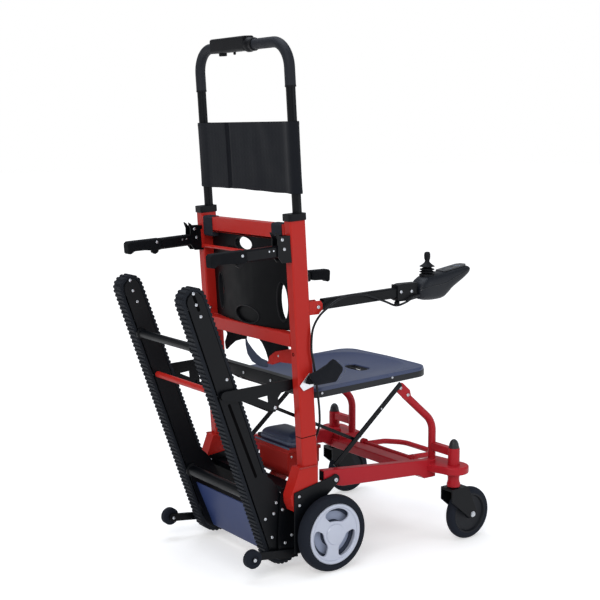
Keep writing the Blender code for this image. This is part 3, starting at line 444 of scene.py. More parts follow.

# Lap strap: black webbing that hangs from the lower crossbar in a shallow loop and goes on to the hip pad.
# Where it turns its flat side to the rear, its light is painted in as blue-grey; the shaded ends stay black.
STRAP = grained("lap_strap_webbing", "nylon_cloth", "#0C0E12", 0.75, grain=3.0, bump=0.5, blotch=30,
                contrast=0.2, specular=0.12)
STRAP_PAINTED_LIGHT = grained("lap_strap_painted_light_side", "nylon_cloth", "#39445A", 0.7, grain=3.0, bump=0.4, blotch=30,
                     contrast=0.18)
# The loop's blue-grey is painted light on the lit flat side; the ends keep the webbing's own black.
loop = [(78, 586), (76, 560), (67, 536), (44, 518), (9, 511), (-34, 513), (-34, 531), (-3, 534), (20, 542),
        (43, 554), (66, 569)]
piece("lap_strap_loop", [slab(outline(loop, 7), 46.4, 49.0, "Y", 0.8)], STRAP_PAINTED_LIGHT)
shaded = [[(193, 592), (78, 592), (76, 576), (104, 571), (134, 562), (162, 545), (184, 528), (190, 552),
           (176, 578)],
          [(22, 590), (-137, 600), (-113, 590), (-132, 577), (-62, 553), (-36, 526), (-20, 556), (-3, 575)]]
piece("lap_strap_ends", [slab(outline(flat, 5), 42.6, 46.0, "Y", 0.8) for flat in shaded], STRAP)

# Lift handles: pressed steel forks on the uprights carry box bars that fold down, each with a foam grip.
# The foam is dull and slightly pitted. The bars' studs are low, because they fold between the cheeks.
FOAM = grained("grip_foam", "foam_rubber", "#0C0E12", 0.8, grain=1.8, bump=0.5, blotch=30, contrast=0.15,
               specular=0.14)
CHEEKS = (201.2, 226.2)
CHEEK_WIDTH = 2.6
lift_outline = outline([(235.9, 858), (235.9, 827), (252, 824), (286, 827), (318, 826), (329, 818.5),
                        (338.5, 819.5), (340.5, 847), (334, 853)], [5, 5, 20, 20, 10, 6, 6, 7, 7])
lever = outline([(240, 827.5), (262, 825), (262, 819), (252, 814), (243, 819)], 2.5)
hook = outline([(138, 885), (143, 892), (153, 898), (151, 890), (145, 877)], 1.2)
bar_studs = [(156, 851), (169, 850)]
for side, word in SIDES:
    body = "lift_" + word
    dressed("lift_bracket_" + word, BLACK, 0.8)
    dressed("lift_handle_" + word, BLACK, 1.5)
    piece("lift_grip_foam_" + word, [slab(lift_outline, side * 200.6, side * 229.4, "X", 4.4, 5)], FOAM, body,
          "lift_grip_" + word)
    piece("lift_trigger_" + word, [slab(lever, side * 209, side * 221, "X", 2)], ABS, body)
    hooks = [slab(hook, side * low, side * (low + CHEEK_WIDTH), "X", 0.8) for low in CHEEKS]
    piece("lift_hook_" + word, hooks, BLACK)
    for name, x, spots, radius, height, way in (
            ("lift_bar_studs_", 225, bar_studs, 2.4, 0.8, 1),
            ("lift_bar_inner_studs_", 205, bar_studs, 2.4, 0.8, -1),
            ("lift_grip_screw_", 229.3, [(251, 845)], 4.0, 2.6, 1),
            ("lift_grip_inner_screw_", 200.7, [(252, 848)], 4.0, 2.6, -1)):
        bolts(name + word, [(side * x, *spot) for spot in spots], body, radius, height, way=way)
bracket_bolts = [(133.5, 878), (127, 854)]
bolts("lift_bracket_bolts", both(229.0, *bracket_bolts), radius=4.4)
bolts("lift_bracket_inner_bolts", both(201.0, *bracket_bolts), radius=4.4, way=-1)


# Push handle: one bent steel tube that slides in the uprights, with a long foam sleeve over its bends.
# The box of the height release clasps the top; a round knob and a small pin stand out below it.
def bend(corners, radius, steps=10):
    """A path through the corners, with an arc of the radius at each inner one."""
    corners = [np.asarray(c, float) for c in corners]
    arcs = [corner_arc(point, before, after, radius, steps)
            for before, point, after in zip(corners, corners[1:], corners[2:])]
    return np.vstack([corners[0], *arcs, corners[-1]])


HANDLE_X, HANDLE_Y, HANDLE_TOP, HANDLE_BEND = 214.7, -9.5, 1368.8, 65.0
HANDLE_FOOT, TUBE_RADIUS = 642.0, 12.2
FOAM_FOOT, FOAM_RADIUS = 1257.0, 13.9
handle_corners = [(x, HANDLE_Y, z) for x, z in ((-HANDLE_X, HANDLE_FOOT), (-HANDLE_X, HANDLE_TOP),
                                                (HANDLE_X, HANDLE_TOP), (HANDLE_X, HANDLE_FOOT))]
SLEEVE_FOAM = grained("handle_sleeve_foam", "foam_rubber", "#171A21", 0.62, grain=2.0, bump=0.3, blotch=40,
                      contrast=0.15, specular=0.25)
piece("handle_tube", [sweep(leaned(bend(handle_corners, HANDLE_BEND, 14)), circle(TUBE_RADIUS, 36))],
      BLACK, "push_handle", "push_handle_tube")
for (side, word), end, radius in zip(SIDES, (-66.4, 129.4), (HANDLE_BEND, 64.5)):
    x = side * HANDLE_X
    corners = [(x, HANDLE_Y, FOAM_FOOT), (x, HANDLE_Y, HANDLE_TOP), (end, HANDLE_Y, HANDLE_TOP)]
    grip = sweep(leaned(bend(corners, radius, 14)), circle(FOAM_RADIUS, 36))
    piece("handle_foam_" + word, [grip], SLEEVE_FOAM, "push_handle", "push_grip_" + word)
    rim = [(x, HANDLE_Y, FOAM_FOOT - 1.2), (x, HANDLE_Y, FOAM_FOOT + 3)]
    piece("handle_foam_rim_" + word, [sweep(leaned(rim), circle(FOAM_RADIUS + 0.5, 36))], ABS, "push_handle")
case = rectangle((-18, -19.2), (18, 19.2), 7) + (HANDLE_Y, 1373.25)
piece("release_case", [leaned(slab(case, -37, 128, "X", 2.5))], ABS, "push_handle", "push_handle_box")
collar = [(12.6, -66), (16, -66), (17.2, -64.5), (17.2, -58), (15.8, -56), (15.8, -52), (18, -49), (19, -44),
          (19, -36), (12.6, -36), (12.6, -66)]
piece("release_collar", [leaned(lathe(collar, (HANDLE_Y, HANDLE_TOP)))], ABS, "push_handle")
knob = [(0, 1346), (9.4, 1346), (10.8, 1347.2), (10.8, 1354.4), (0, 1354.4)]
piece("release_knob", [leaned(lathe(knob, (91, HANDLE_Y), "Z"))], ABS, "height_release",
      "height_release_button")
pin = [(0, 1346.5), (3.2, 1347.5), (3.6, 1350), (3.6, 1355), (0, 1355)]
piece("release_pin", [leaned(lathe(pin, (33, HANDLE_Y), "Z", 20))], ABS, "push_handle")

# Headrest: a band of black nylon cloth wrapped round both legs of the handle and closed by a vertical
# overlap. Plain weave, drawn at 2.4 mm so that it shows, with hems, slack folds and a soft sheen.
NYLON = grained("woven_nylon", "nylon_cloth", "#0D1017", 0.7, grain=1.2, bump=0.2, blotch=70, contrast=0.18,
                specular=0.14, Sheen_Weight=0.06, Sheen_Roughness=0.5)
THREAD = 2.4
tree = NYLON.node_tree
coordinates = node(tree, "ShaderNodeTexCoord").outputs["Object"]
wave = {"Vector": coordinates, "Scale": 1000 / THREAD / 20, "Distortion": 0.6}
threads = [node(tree, "ShaderNodeTexWave", wave, wave_type="BANDS", bands_direction=direction).outputs["Fac"]
           for direction in ("X", "Z")]
cross = node(tree, "ShaderNodeMath", {0: threads[0], 1: threads[1]}, operation="MULTIPLY")
grain_normal = next(n for n in tree.nodes if n.type == "BUMP").outputs["Normal"]
weave = node(tree, "ShaderNodeBump", {"Height": cross.outputs["Value"], "Strength": 0.35, "Distance": 0.0004,
                                      "Normal": grain_normal})
tree.links.new(weave.outputs["Normal"], tree.nodes["Principled BSDF"].inputs["Normal"])

BAND_LOW, BAND_HIGH, BAND_END = 994.0, 1171.6, 235.6
BAND_THIN, BAND_SWELL, CLOTH_THICKNESS = 6.5, 8.2, 1.4


def band_rows(thin):
    """The band's outline at each height: half thickness 6.5 + 8.2 exp(-((|x| - leg) / 22)^2) between the legs
    and a half ellipse round each leg, moved along Y by folds that are sums of sines."""
    reach = BAND_END - HANDLE_X
    inner = np.sort(np.concatenate([np.linspace(-HANDLE_X, HANDLE_X, 90), np.linspace(76, 90, 24)]))
    tips = np.linspace(0, np.pi / 2, 8)[1:]
    x = np.concatenate([-HANDLE_X - reach * np.sin(tips[::-1]), inner, HANDLE_X + reach * np.sin(tips)])
    bulge = BAND_THIN + BAND_SWELL * np.exp(-((np.abs(x) - HANDLE_X) / 22) ** 2)
    round_end = (BAND_THIN + BAND_SWELL) * np.sqrt(np.clip(1 - ((np.abs(x) - HANDLE_X) / reach) ** 2, 0, 1))
    half = np.where(np.abs(x) > HANDLE_X, round_end, bulge)
    x = np.concatenate([x, x[-2:0:-1]])
    half = np.concatenate([half, -half[-2:0:-1]])
    z = np.linspace(BAND_LOW, BAND_HIGH, 56)[:, None]
    share = (z - BAND_LOW) / (BAND_HIGH - BAND_LOW)
    middle = np.clip(1 - (np.abs(x) / HANDLE_X) ** 4, 0, 1)[None]
    radiating = np.sin(9.0 * np.arctan2(x + 40, 1.15 * (BAND_HIGH + 60 - z)) + 0.6)
    folds = 1.1 * radiating * np.exp(-((x + 95) / 75) ** 2) + 0.9 * np.sin(0.021 * x + 0.009 * z)
    folds = folds + 0.45 * np.sin(0.09 * x + 0.3 * np.sin(0.05 * z)) * np.exp(-((x + 20) / 60) ** 2)
    folds = folds * middle * (0.55 + 0.45 * np.sin(np.pi * share))
    flap = 1 / (1 + np.exp(-np.clip((x - 87) / 0.5, -30, 30)))
    valley = np.exp(-((x - 80) / 5.0) ** 2)
    overlap = (4.0 * flap * np.clip((212 - x) / 20, 0, 1) - 3.8 * valley) * (half > 0)
    hem = 0.7 * (np.exp(-((share - 0.03) / 0.012) ** 2) + np.exp(-((share - 0.97) / 0.012) ** 2))
    y = HANDLE_Y + np.sign(half) * (np.abs(half) - thin + hem * (thin == 0)) + overlap + folds
    waist = 1 - 0.004 * np.sin(np.pi * share)
    x = x * waist - np.sign(x) * thin * (np.abs(x) > HANDLE_X)
    uneven = 2.4 * x / HANDLE_X + 0.7 * np.sin(0.019 * x + 1.0) + 0.4 * np.sin(0.06 * x)
    uneven = z + (1 - share) ** 3 * uneven
    return np.stack([np.broadcast_to(x, y.shape), y, np.broadcast_to(uneven, y.shape)], axis=-1)


outer, inner_side = band_rows(0.0), band_rows(CLOTH_THICKNESS)
band = piece("headrest_cloth", [leaned(np.concatenate([outer, inner_side[::-1], outer[:1]]))], NYLON,
             "push_handle", "headrest_band", crease=60)

# Armrests: box bars that swing up on a pin in the upright's cheeks. The right bar ends in the clamp of the
# controller, and the left one in a foam grip. Black powder coat, as on the lift handles.
dressed("armrest_right", BLACK, 1.5)
dressed("armrest_left", BLACK, 1.5)
left_grip = outline([(-269, 732.5), (-269, 704.5), (-281, 702.5), (-321, 701.5), (-331, 694.5),
                     (-338.5, 698.5), (-340, 728), (-334, 733)], [5, 5, 20, 10, 5, 5, 6, 6])
piece("armrest_foam_left", [slab(left_grip, 200.4, 229.6, "X", 4.2, 5)], FOAM, "armrest_left",
      "armrest_grip_left")
bolts("clamp_bolts", [(-228.2, -255, 716), (-228.2, -292, 715)], "armrest_right", 4.6)
clamp_knob = [(0, 677), (6.5, 678), (7.5, 681), (7.5, 687), (4, 691), (0, 691)]
piece("clamp_knob", [lathe(clamp_knob, (-215, -252), "Z", 24)], ABS, "armrest_right")
trim = outline([(-243.5, 693.5), (-243.5, 735), (-248, 735), (-248, 693.5)], 0.8)
piece("clamp_lip", [slab(trim, -201, -229, "X", 0.8)], BLACK, "armrest_right")

# Controller: two injection-moulded shells with a soft-touch finish, hung under the armrest's clamp.
# A bellows of black rubber seals the joystick, and a glossy panel carries the keys.
SOFT_TOUCH = grained("soft_touch_abs", "black_plastic", "#11151C", 0.45, grain=1.4, blotch=50, specular=0.25)
GLOSS = grained("glossy_key_panel", "black_plastic", "#0C1017", 0.2, grain=2.0, bump=0.02, blotch=40)
CONTROLLER_X = -215.0
PANEL_START, PANEL_RISE = (-387, 758.5), 0.1528
# Each station of the shell: y, top, bottom, half width, and how square its section is
stations = np.array([
    (-315.4, 718, 702, 15, 0.8), (-317, 727, 697, 21, 0.8), (-322, 736, 692, 25, 0.8),
    (-331, 745, 688, 28.5, 0.8), (-343, 752, 685.4, 30.6, 0.75), (-359, 755.5, 684.4, 31, 0.7),
    (-375, 757, 684.4, 31, 0.66),
    (-388, 758.7, 685.2, 31, 0.64), (-397, 760, 686.2, 31, 0.62), (-407, 761.6, 689, 31, 0.62),
    (-419, 763.4, 698, 31, 0.62), (-431, 765.2, 709, 31, 0.62), (-444, 767.2, 718, 31, 0.62),
    (-458, 769.3, 726, 31, 0.62), (-471, 771.3, 733.6, 30.6, 0.62), (-482, 772.7, 740.6, 29.5, 0.64),
    (-490.5, 772.8, 746.2, 27.5, 0.66), (-497, 771, 751, 24, 0.7), (-501.3, 768, 756, 18, 0.8),
    (-502.8, 765, 759.6, 12, 0.9)])
fine = np.linspace(0, len(stations) - 1, 80)
y, top, bottom, half, power = (np.interp(fine, np.arange(len(stations)), column)[:, None]
                               for column in stations.T)
angle = np.linspace(0, 2 * np.pi, 64, endpoint=False)[None]
x = CONTROLLER_X + half * np.sign(np.cos(angle)) * np.abs(np.cos(angle)) ** power
middle = top * 0.6 + bottom * 0.4
rise = np.where(np.sin(angle) > 0, top - middle, middle - bottom)
z = middle + rise * np.sign(np.sin(angle)) * np.abs(np.sin(angle)) ** 0.8
shell = np.stack([x, np.broadcast_to(y, x.shape), z], axis=-1)
piece("controller_shell", [shell], SOFT_TOUCH, "armrest_right", "controller_case", crease=60)
for name, column, out in (("controller_seam_out", 32, -0.2), ("controller_seam_in", 0, 0.2)):
    piece(name, [sweep(shell[5:-5, column] + (out, 0, 0), circle(0.9, 8))], GLOSS, "armrest_right")
panel = outline([(-234, -404), (-196, -404), (-194, -482), (-205, -494), (-225, -494), (-236, -482)],
                [6, 6, 8, 10, 10, 8])
rows = slab(panel, -1.6, 2.0, "Z", 1.0)
z = PANEL_START[1] + (PANEL_START[0] - rows[..., 1]) * PANEL_RISE + rows[..., 2]
piece("key_panel", [np.stack([rows[..., 0], rows[..., 1], z], axis=-1)], GLOSS, "armrest_right")
for name in ("power_key", "horn_key"):
    dressed(name, SOFT_TOUCH, 0.8)
LAMPS = grained("indicator_lens", "black_plastic", "#8FA6C8", 0.25, grain=1.0, bump=0.05, blotch=6,
                contrast=0.3)
lamp_places = [(CONTROLLER_X + step * 7, -466) for step in range(-2, 3)] + [(-229, -434), (-201, -434)]
lamps = []
for across_x, along_y in lamp_places:
    height = PANEL_START[1] + (PANEL_START[0] - along_y) * PANEL_RISE + 1.6
    lamps.append(slab(circle(1.5, 12) + (across_x, along_y), height, height + 1.0, "Z", 0.3))
piece("controller_lamps", lamps, LAMPS, "armrest_right")
JOYSTICK = (CONTROLLER_X, -359)
bellows = [(0, 750), (21.4, 750), (21.8, 754.6), (20, 756.6), (15.4, 758.4), (15.4, 759.6), (21, 761.2),
           (21.2, 763.2), (15.4, 765), (15.2, 766.4), (20.4, 768.4), (20.4, 770.2), (14.5, 772), (12, 774.2),
           (0, 774.2)]
RUBBER_BOOT = grained("boot_rubber", "black_plastic", "#0C0E12", 0.6, blotch=20, specular=0.18)
boot = piece("joystick_bellows", [lathe(bellows, JOYSTICK, "Z", 40)], RUBBER_BOOT, None, "joystick_boot",
             crease=75)
across_joint(boot, (*JOYSTICK, 752), (*JOYSTICK, 772))
hat = [(0, 775.4), (12.4, 775.4), (20.6, 776.6), (21.2, 778), (13.6, 783), (8.6, 787.5), (6.4, 791),
       (6.8, 795), (8.4, 799), (8.8, 806), (8.4, 812), (6.8, 816), (3.6, 817.3), (0, 817.5)]
piece("joystick_stick", [lathe(hat, JOYSTICK, "Z", 40)], RUBBER_BOOT, "joystick", "joystick_knob", crease=75)

# Seat: a blow-moulded board, dished in the middle, with a raised rim and an oval hand hole near its front.
# Dark blue-grey plastic with a satin skin that mirrors the light from above.
SEAT = grained("blow_moulded_seat", "seat_plastic", "#2D3A5E", 0.34, grain=3.0, bump=0.1, blotch=140,
               contrast=0.1)
SEAT_REAR, SEAT_FRONT, SEAT_HALF, SEAT_MIDDLE = 16.0, -397.0, 190.0, -190.5
SEAT_RIM, SEAT_RISE, SEAT_DISH, SEAT_DEPTH = 473.5, 0.04, 17.0, 26.0
DISH_HALF_X, DISH_HALF_Y = SEAT_HALF * 0.93, 192.0
HAND_HOLE, HOLE_HALF_X, HOLE_HALF_Y = (0, -284), 46.0, 18.0
rim = outline([(-SEAT_HALF, SEAT_REAR), (SEAT_HALF, SEAT_REAR), (SEAT_HALF, SEAT_FRONT), (0, SEAT_FRONT - 8),
               (-SEAT_HALF, SEAT_FRONT)], [40, 40, 48, 600, 48], 10)
hole = rectangle((-HOLE_HALF_X, -HOLE_HALF_Y), (HOLE_HALF_X, HOLE_HALF_Y), HOLE_HALF_Y * 0.98, 14) + HAND_HOLE


def seat_ring(loop, towards, share, count=160):
    """Points at even angles about the hand hole's middle, part of the way from one loop to another."""
    angles = np.linspace(-np.pi, np.pi, count, endpoint=False)
    found = []
    for flat in (loop, towards):
        dense = np.linspace(flat, np.roll(flat, -1, 0), 12, endpoint=False, axis=1).reshape(-1, 2)
        offset = dense - HAND_HOLE
        turn = np.arctan2(offset[:, 1], offset[:, 0])
        order = np.argsort(turn)
        turn, offset = turn[order], offset[order]
        turn = np.concatenate([turn[-1:] - 2 * np.pi, turn, turn[:1] + 2 * np.pi])
        offset = np.vstack([offset[-1:], offset, offset[:1]])
        found.append(np.stack([np.interp(angles, turn, offset[:, i]) for i in range(2)], axis=1))
    return found[0] * (1 - share) + found[1] * share + HAND_HOLE


def level(flat, height):
    """Flat points with a height, which is one number or one for each point."""
    return np.column_stack([flat, np.broadcast_to(height, len(flat))])


def board_height(flat):
    """Height of the rim, which rises towards the front."""
    return SEAT_RIM - SEAT_RISE * flat[..., 1]


def seat_height(flat):
    """Rim height less the dish: 17 mm deep where a rounded square of x and y is nought, level at the rim."""
    x, y = flat[..., 0] / DISH_HALF_X, (flat[..., 1] - SEAT_MIDDLE) / DISH_HALF_Y
    shape = np.clip(np.abs(x) ** 3 + np.abs(y) ** 3, 0, 1)
    return board_height(flat) - SEAT_DISH * (1 - shape) ** 0.8


rows = []
for share in [*np.linspace(0.015, 0.94, 24), 0.96, 0.975, 0.99]:
    flat = seat_ring(hole, rim, share)
    bead = 1.6 * math.exp(-((share - 0.95) / 0.02) ** 2)
    rows.append(level(flat, seat_height(flat) + bead))
edge = seat_ring(hole, rim, 1.0)
rim_height = board_height(edge)
rows += [level(edge, rim_height - 5), level(edge, rim_height - 19)]
rows.append(level(seat_ring(hole, rim, 0.985), rim_height - SEAT_DEPTH + 1))
for share in np.linspace(0.95, 0.015, 8):
    flat = seat_ring(hole, rim, share)
    rows.append(level(flat, board_height(flat) - SEAT_DEPTH))
wall = seat_ring(hole, rim, 0.0)
rows += [level(wall, board_height(wall) - SEAT_DEPTH + 1), level(wall, seat_height(wall) - 2), rows[0]]
piece("seat_shell", [rows], SEAT, "seat", "seat_board", crease=50)
# Side band and hand hole wall in near black: painted shade where the seat turns from the light above.
SEAT_PAINTED_SHADE = grained("seat_side_painted_shade", "seat_plastic", "#12151B", 0.45, grain=2.4, bump=0.2, blotch=60,
                    specular=0.3)
collar = [level(seat_ring(hole, rim, share), height)
          for share, height in ((-0.01, 468.4), (-0.01, 459.6), (-0.03, 459.6), (-0.03, 468.4))]
piece("seat_hole_wall", [[*collar, collar[0]]], SEAT_PAINTED_SHADE, "seat", crease=50)
grown = ((0.002, 7.5), (0.0045, 9), (0.0045, 23), (0.002, 24.5), (-0.004, 24.5), (-0.004, 7.5))
band = [level(edge + (edge - (0, SEAT_MIDDLE)) * grow, rim_height - drop) for grow, drop in grown]
piece("seat_side_band", [[*band, band[0]]], SEAT_PAINTED_SHADE, "seat", crease=50)
lug = outline([(-20, 449), (26, 453), (35, 462), (26, 471), (-20, 467)], 4)
for side, word in SIDES:
    piece("seat_hinge_lug_" + word, [slab(lug, side * 127, side * 138, "X", 1.5)], BLACK, "seat")
bolts("seat_edge_bolts", both(190.8, (-18, 462), (-258, 474)), "seat", 3.6, 2.4)

# Hip pad: a block of foam in black cloth on the end of the lap belt, with the belt's bare steel tongue.
# The cloth is dull and puffed, with a pale piping; the tongue is pressed steel, bright and scratched.
PAD_CLOTH = grained("pad_cloth", "nylon_cloth", "#12151B", 0.8, grain=2.2, bump=0.5, blotch=30, contrast=0.2,
                    specular=0.14, Sheen_Weight=0.05)
pad_flat = outline([(47, 500), (73, 530), (-10, 566), (-43, 536), (-16, 502)], 9, 5)
pad = piece("hip_pad_cushion", [slab(pad_flat, -246.0, -259.4, "X", 6, 5)], PAD_CLOTH, "chassis", "hip_pad",
            crease=60)


def puffed(soft, voxel=4.0, pressure=4.0, frames=20, cap=3.2):
    """The closed skin remeshed in even cells and blown up as cloth without gravity; no point moves beyond the
    cap."""
    soft.modifiers.clear()
    remesh = soft.modifiers.new("even cells", "REMESH")
    remesh.mode = "VOXEL"
    remesh.voxel_size = voxel * MM
    even = bpy.data.meshes.new_from_object(soft.evaluated_get(bpy.context.evaluated_depsgraph_get()))
    soft.modifiers.clear()
    soft.data = even
    start = np.array([v.co for v in even.vertices])
    cloth = soft.modifiers.new("cloth", "CLOTH")
    cloth.settings.use_pressure = True
    cloth.settings.uniform_pressure_force = pressure
    cloth.settings.effector_weights.gravity = 0.0
    for number in range(1, frames + 1):
        bpy.context.scene.frame_set(number)
    blown = soft.evaluated_get(bpy.context.evaluated_depsgraph_get()).to_mesh()
    moved = np.array([v.co for v in blown.vertices]) - start
    soft.modifiers.clear()
    length = np.linalg.norm(moved, axis=1)[:, None]
    moved *= np.minimum(1.0, cap * MM / np.maximum(length, 1e-9))
    even.vertices.foreach_set("co", (start + moved).ravel())
    even.shade_smooth()
    bpy.context.scene.frame_set(1)
    smooth = soft.modifiers.new("subdivision", "SUBSURF")
    smooth.levels = smooth.render_levels = 1


puffed(pad)
PIPING = grained("pad_piping", "nylon_cloth", "#5A6170", 0.6, grain=1.2, bump=0.2, blotch=20)
front_edge = [(-260.6, y, z) for y, z in ((-14, 502), (-27, 514), (-43, 533), (-31, 549), (-12, 564))]
piece("pad_piping", [sweep(smooth_route(front_edge, 3), circle(0.8, 8))], PIPING)
TONGUE = grained("belt_tongue_steel", "bright_steel", "#D8DADD", 0.3, 0.85, grain=1.2, bump=0.1, blotch=12,
                 contrast=0.25)
tab = outline([(53, 533.5), (84.5, 501.2), (72.6, 486.6), (28.6, 499.2)], 3)
piece("belt_tongue", [slab(tab, -232.6, -234.4, "X", 0.5)], TONGUE)
stub = outline([(48, 504), (67, 505), (62, 525), (48, 525)], 3)
piece("pad_strap", [slab(stub, -234.2, -248, "X", 1.5)], STRAP)

# Base: steel side plates bolted over the feet of the uprights, inner plates and a cross box between them.
# Black powder coat, as above.
ROLLER_AXLE = (221, 65)
for name in ("side_plate_right", "side_plate_left", "base_frame"):
    dressed(name, BLACK, 1.0)
bolts("front_pivot_bolts", both(236.8, (-29, 235)), radius=6.2, height=4)
bolts("roller_bolts", both(227.0, ROLLER_AXLE))
bolts("roller_arm_nuts", both(192.2, ROLLER_AXLE, (140, 55)), radius=4, way=-1)

# Drive housing: a folded steel case in red round the motor, hung under the battery's tray. A narrow case
# covers the chain down to the track's shaft. The coat is the frame's red, darkened as painted shade of the
# seat.
HOUSING_PAINTED_SHADE_RED = grained("red_powder_coat_shaded", "red_enamel", "#A0221C", 0.36, grain=4.0, bump=0.06,
                      blotch=120, contrast=0.1, specular=0.14)
CHAIN_START = np.array((-15.0, 205.0))
TRACK_PIVOT, DRIVE_RADIUS = np.array((103.0, 78.0)), 60.0
chain = np.vstack([middle + arc(radius, np.radians(np.linspace(first, first + 180, 14)))
                   for middle, radius, first in ((CHAIN_START, 20, 47), (TRACK_PIVOT, 24, 227))])
motor = rectangle((-70, 205), (33.7, 291), [40, 42, 8, 8], 12)
tray = rectangle((-108, -76), (60, 32), 3)
flange = rectangle((-70, 250), (-60, 291), 2)
piece("drive_case", [slab(motor, -105, 35, "X", 3.5, 4), slab(chain, -14, 14, "X", 2),
                     slab(tray, 286, 296, "Z", 1.6), slab(flange, -107, 37, "X", 1)], HOUSING_PAINTED_SHADE_RED,
      stands_for="drive_housing")
bolts("drive_case_screws", [(-105.2, y, 276) for y in (22, -48)], radius=3.4, height=2.2)

# Battery: a box of dark blue-grey ABS on the tray, with a domed lid, a paler rim at its foot and its plug.
# Satin, with the plug of black plastic pushed into the end.
BATTERY_ABS = grained("battery_abs", "black_plastic", "#28324A", 0.36, grain=1.8, bump=0.12, blotch=70)
TRIM = grained("battery_rim_plastic", "black_plastic", "#4A5368", 0.42, grain=2.0, bump=0.1)
BATTERY_RIGHT, BATTERY_LEFT, BATTERY_FRONT, BATTERY_REAR = -94.6, 53.6, -74.6, 19.6


def battery_outline(inset, radius):
    """The battery's foot, drawn in by an inset."""
    low = (BATTERY_RIGHT + inset, BATTERY_FRONT + inset)
    return rectangle(low, (BATTERY_LEFT - inset, BATTERY_REAR - inset), radius)


rows = []
for inset, height in ((0, 296.6), (0, 312), (1.8, 313.4), (1.8, 317), (3.6, 320.6), (7, 324.2), (12, 327.4),
                      (19, 330), (28, 332), (38, 332.9)):
    rows.append(level(battery_outline(inset, max(13 - 0.25 * inset, 4)), height))
piece("battery_shell", [rows], BATTERY_ABS, stands_for="battery", crease=25)
piece("battery_rim", [slab(battery_outline(-1.2, 13), 303.6, 310.4, "Z", 1.0)], TRIM)
plug = rectangle((44, 1), (66, 19), 4)
piece("battery_plug", [slab(plug, 298.4, 309.6, "Z", 2.0)], ABS)
strip = rectangle((-106, 31.8), (58, 28), 0.8)
piece("battery_tray_strip", [slab(strip, 296.2, 300.6, "Z", 0.8)], TRIM)

# Rear wheels: solid rubber tyres pressed on die-cast rims with three bean-shaped windows, painted silver,
# with a wide hub cap. The tyre is dull dark grey; the paint is satin, with painted shade in dark rings
# behind the windows' edges.
RUBBER = grained("tyre_rubber", "rubber", "#1B1F28", 0.8, grain=2.6, bump=0.5, blotch=40, contrast=0.2,
                 specular=0.16)
RIM = grained("silver_paint", "silver_enamel", "#C4C9D8", 0.4, 0.2, bump=0.08, blotch=60, contrast=0.06)
DARK_RIM = grained("silver_paint_inside", "silver_enamel", "#98A1B8", 0.55, 0.1, bump=0.1)
RIM_SHADE = grained("silver_paint_in_shade", "silver_enamel", "#3B4150", 0.6, bump=0.1, specular=0.1)
LOW_X, HIGH_X, WHEEL_RADIUS, RIM_RADIUS = 238.3, 275.7, 102.5, 81.0
WINDOW_TURN = 8.0
WHEEL = (0, WHEEL_RADIUS)


def pierced(name, flat, holes, low, high, turn, material, body, edge):
    """A plate across X between two depths: the outline less its holes, filled flat, with walls along every
    loop, and turned about the axle."""
    shape = bmesh.new()
    layers = []
    for depth in (low, high):
        edges = []
        for loop in (flat, *holes):
            points = (np.column_stack([np.full(len(loop), depth), loop]) + (0, AXLE_Y, 0)) * MM
            verts = [shape.verts.new(tuple(point)) for point in points]
            edges += [shape.edges.new((a, b)) for a, b in zip(verts, verts[1:] + verts[:1])]
        layers.append(edges)
        bmesh.ops.triangle_fill(shape, use_beauty=True, edges=edges)
    for near, far in zip(*layers):
        shape.faces.new((near.verts[0], near.verts[1], far.verts[1], far.verts[0]))
    bmesh.ops.dissolve_limit(shape, angle_limit=math.radians(1), verts=shape.verts[:], edges=shape.edges[:])
    bmesh.ops.recalc_face_normals(shape, faces=shape.faces[:])
    axle = Vector((0, AXLE_Y, WHEEL_RADIUS)) * MM
    rotation = Matrix.Rotation(math.radians(turn), 3, "X")
    bmesh.ops.rotate(shape, cent=axle, matrix=rotation, verts=shape.verts[:])
    mesh = bpy.data.meshes.new(name)
    shape.to_mesh(mesh)
    shape.free()
    mesh.shade_smooth()
    made = placed(name, mesh, material, body)
    soft_edges(made, edge, 3)
    made.modifiers.new("even shading", "WEIGHTED_NORMAL")


t = np.linspace(0, np.pi, 22)
mid_x, half_x = (LOW_X + HIGH_X) / 2, (HIGH_X - LOW_X) / 2
crown = np.stack([WHEEL_RADIUS - 14 + 14 * np.sin(t) ** 0.62, mid_x - half_x * np.cos(t)], axis=1)
seat_radius = RIM_RADIUS + 0.4
foot = [(seat_radius, LOW_X + 2.4)]
tyre = np.vstack([foot, crown, [(seat_radius, HIGH_X - 2.4)], foot])
barrel = [(0, LOW_X + 3), (-7, LOW_X + 3), (-10, 256), (-10, 257), (-11, HIGH_X - 5), (-9.5, HIGH_X - 1.5),
          (-6, HIGH_X + 0.6), (-2, HIGH_X), (0, HIGH_X - 2.6), (0, LOW_X + 3)]
barrel = np.array(barrel) + (RIM_RADIUS, 0)
windows = []
for turn in (90, 210, 330):
    angles = np.radians(turn + np.array([-42, -21, 0, 21, 42, 33, 11, -11, -33]))
    radii = np.array([66, 68.6, 69.2, 68.6, 66, 38, 34.4, 34.4, 38])
    bean = arc(radii[:, None], angles) + WHEEL
    windows.append(outline(bean, [14, 40, 40, 40, 14, 12, 40, 40, 12], 5))
hub = [(8.6, 240), (23, 240), (24, 250), (24.4, 267), (27.5, 270), (27.8, 273.4), (26, 275.6), (12, 277),
       (0, 277.2), (0, 240)]
web = [(23, 250), (75, 247), (75, 252), (62, 255), (23, 256), (23, 250)]
# Dark rings of painted shade beside the rim's inner web, behind the windows' edges.
shade_rings = [[(low, 254), (high, 253), (high, 258), (low, 258.6), (low, 254)]
        for low, high in ((24, 36), (59, 72))]
roller = [(5.7, 204), (16, 204), (21.5, 204.6), (24, 207), (24, 222), (21.5, 224.4), (12, 225), (12, 223),
          (5.7, 223), (5.7, 204)]
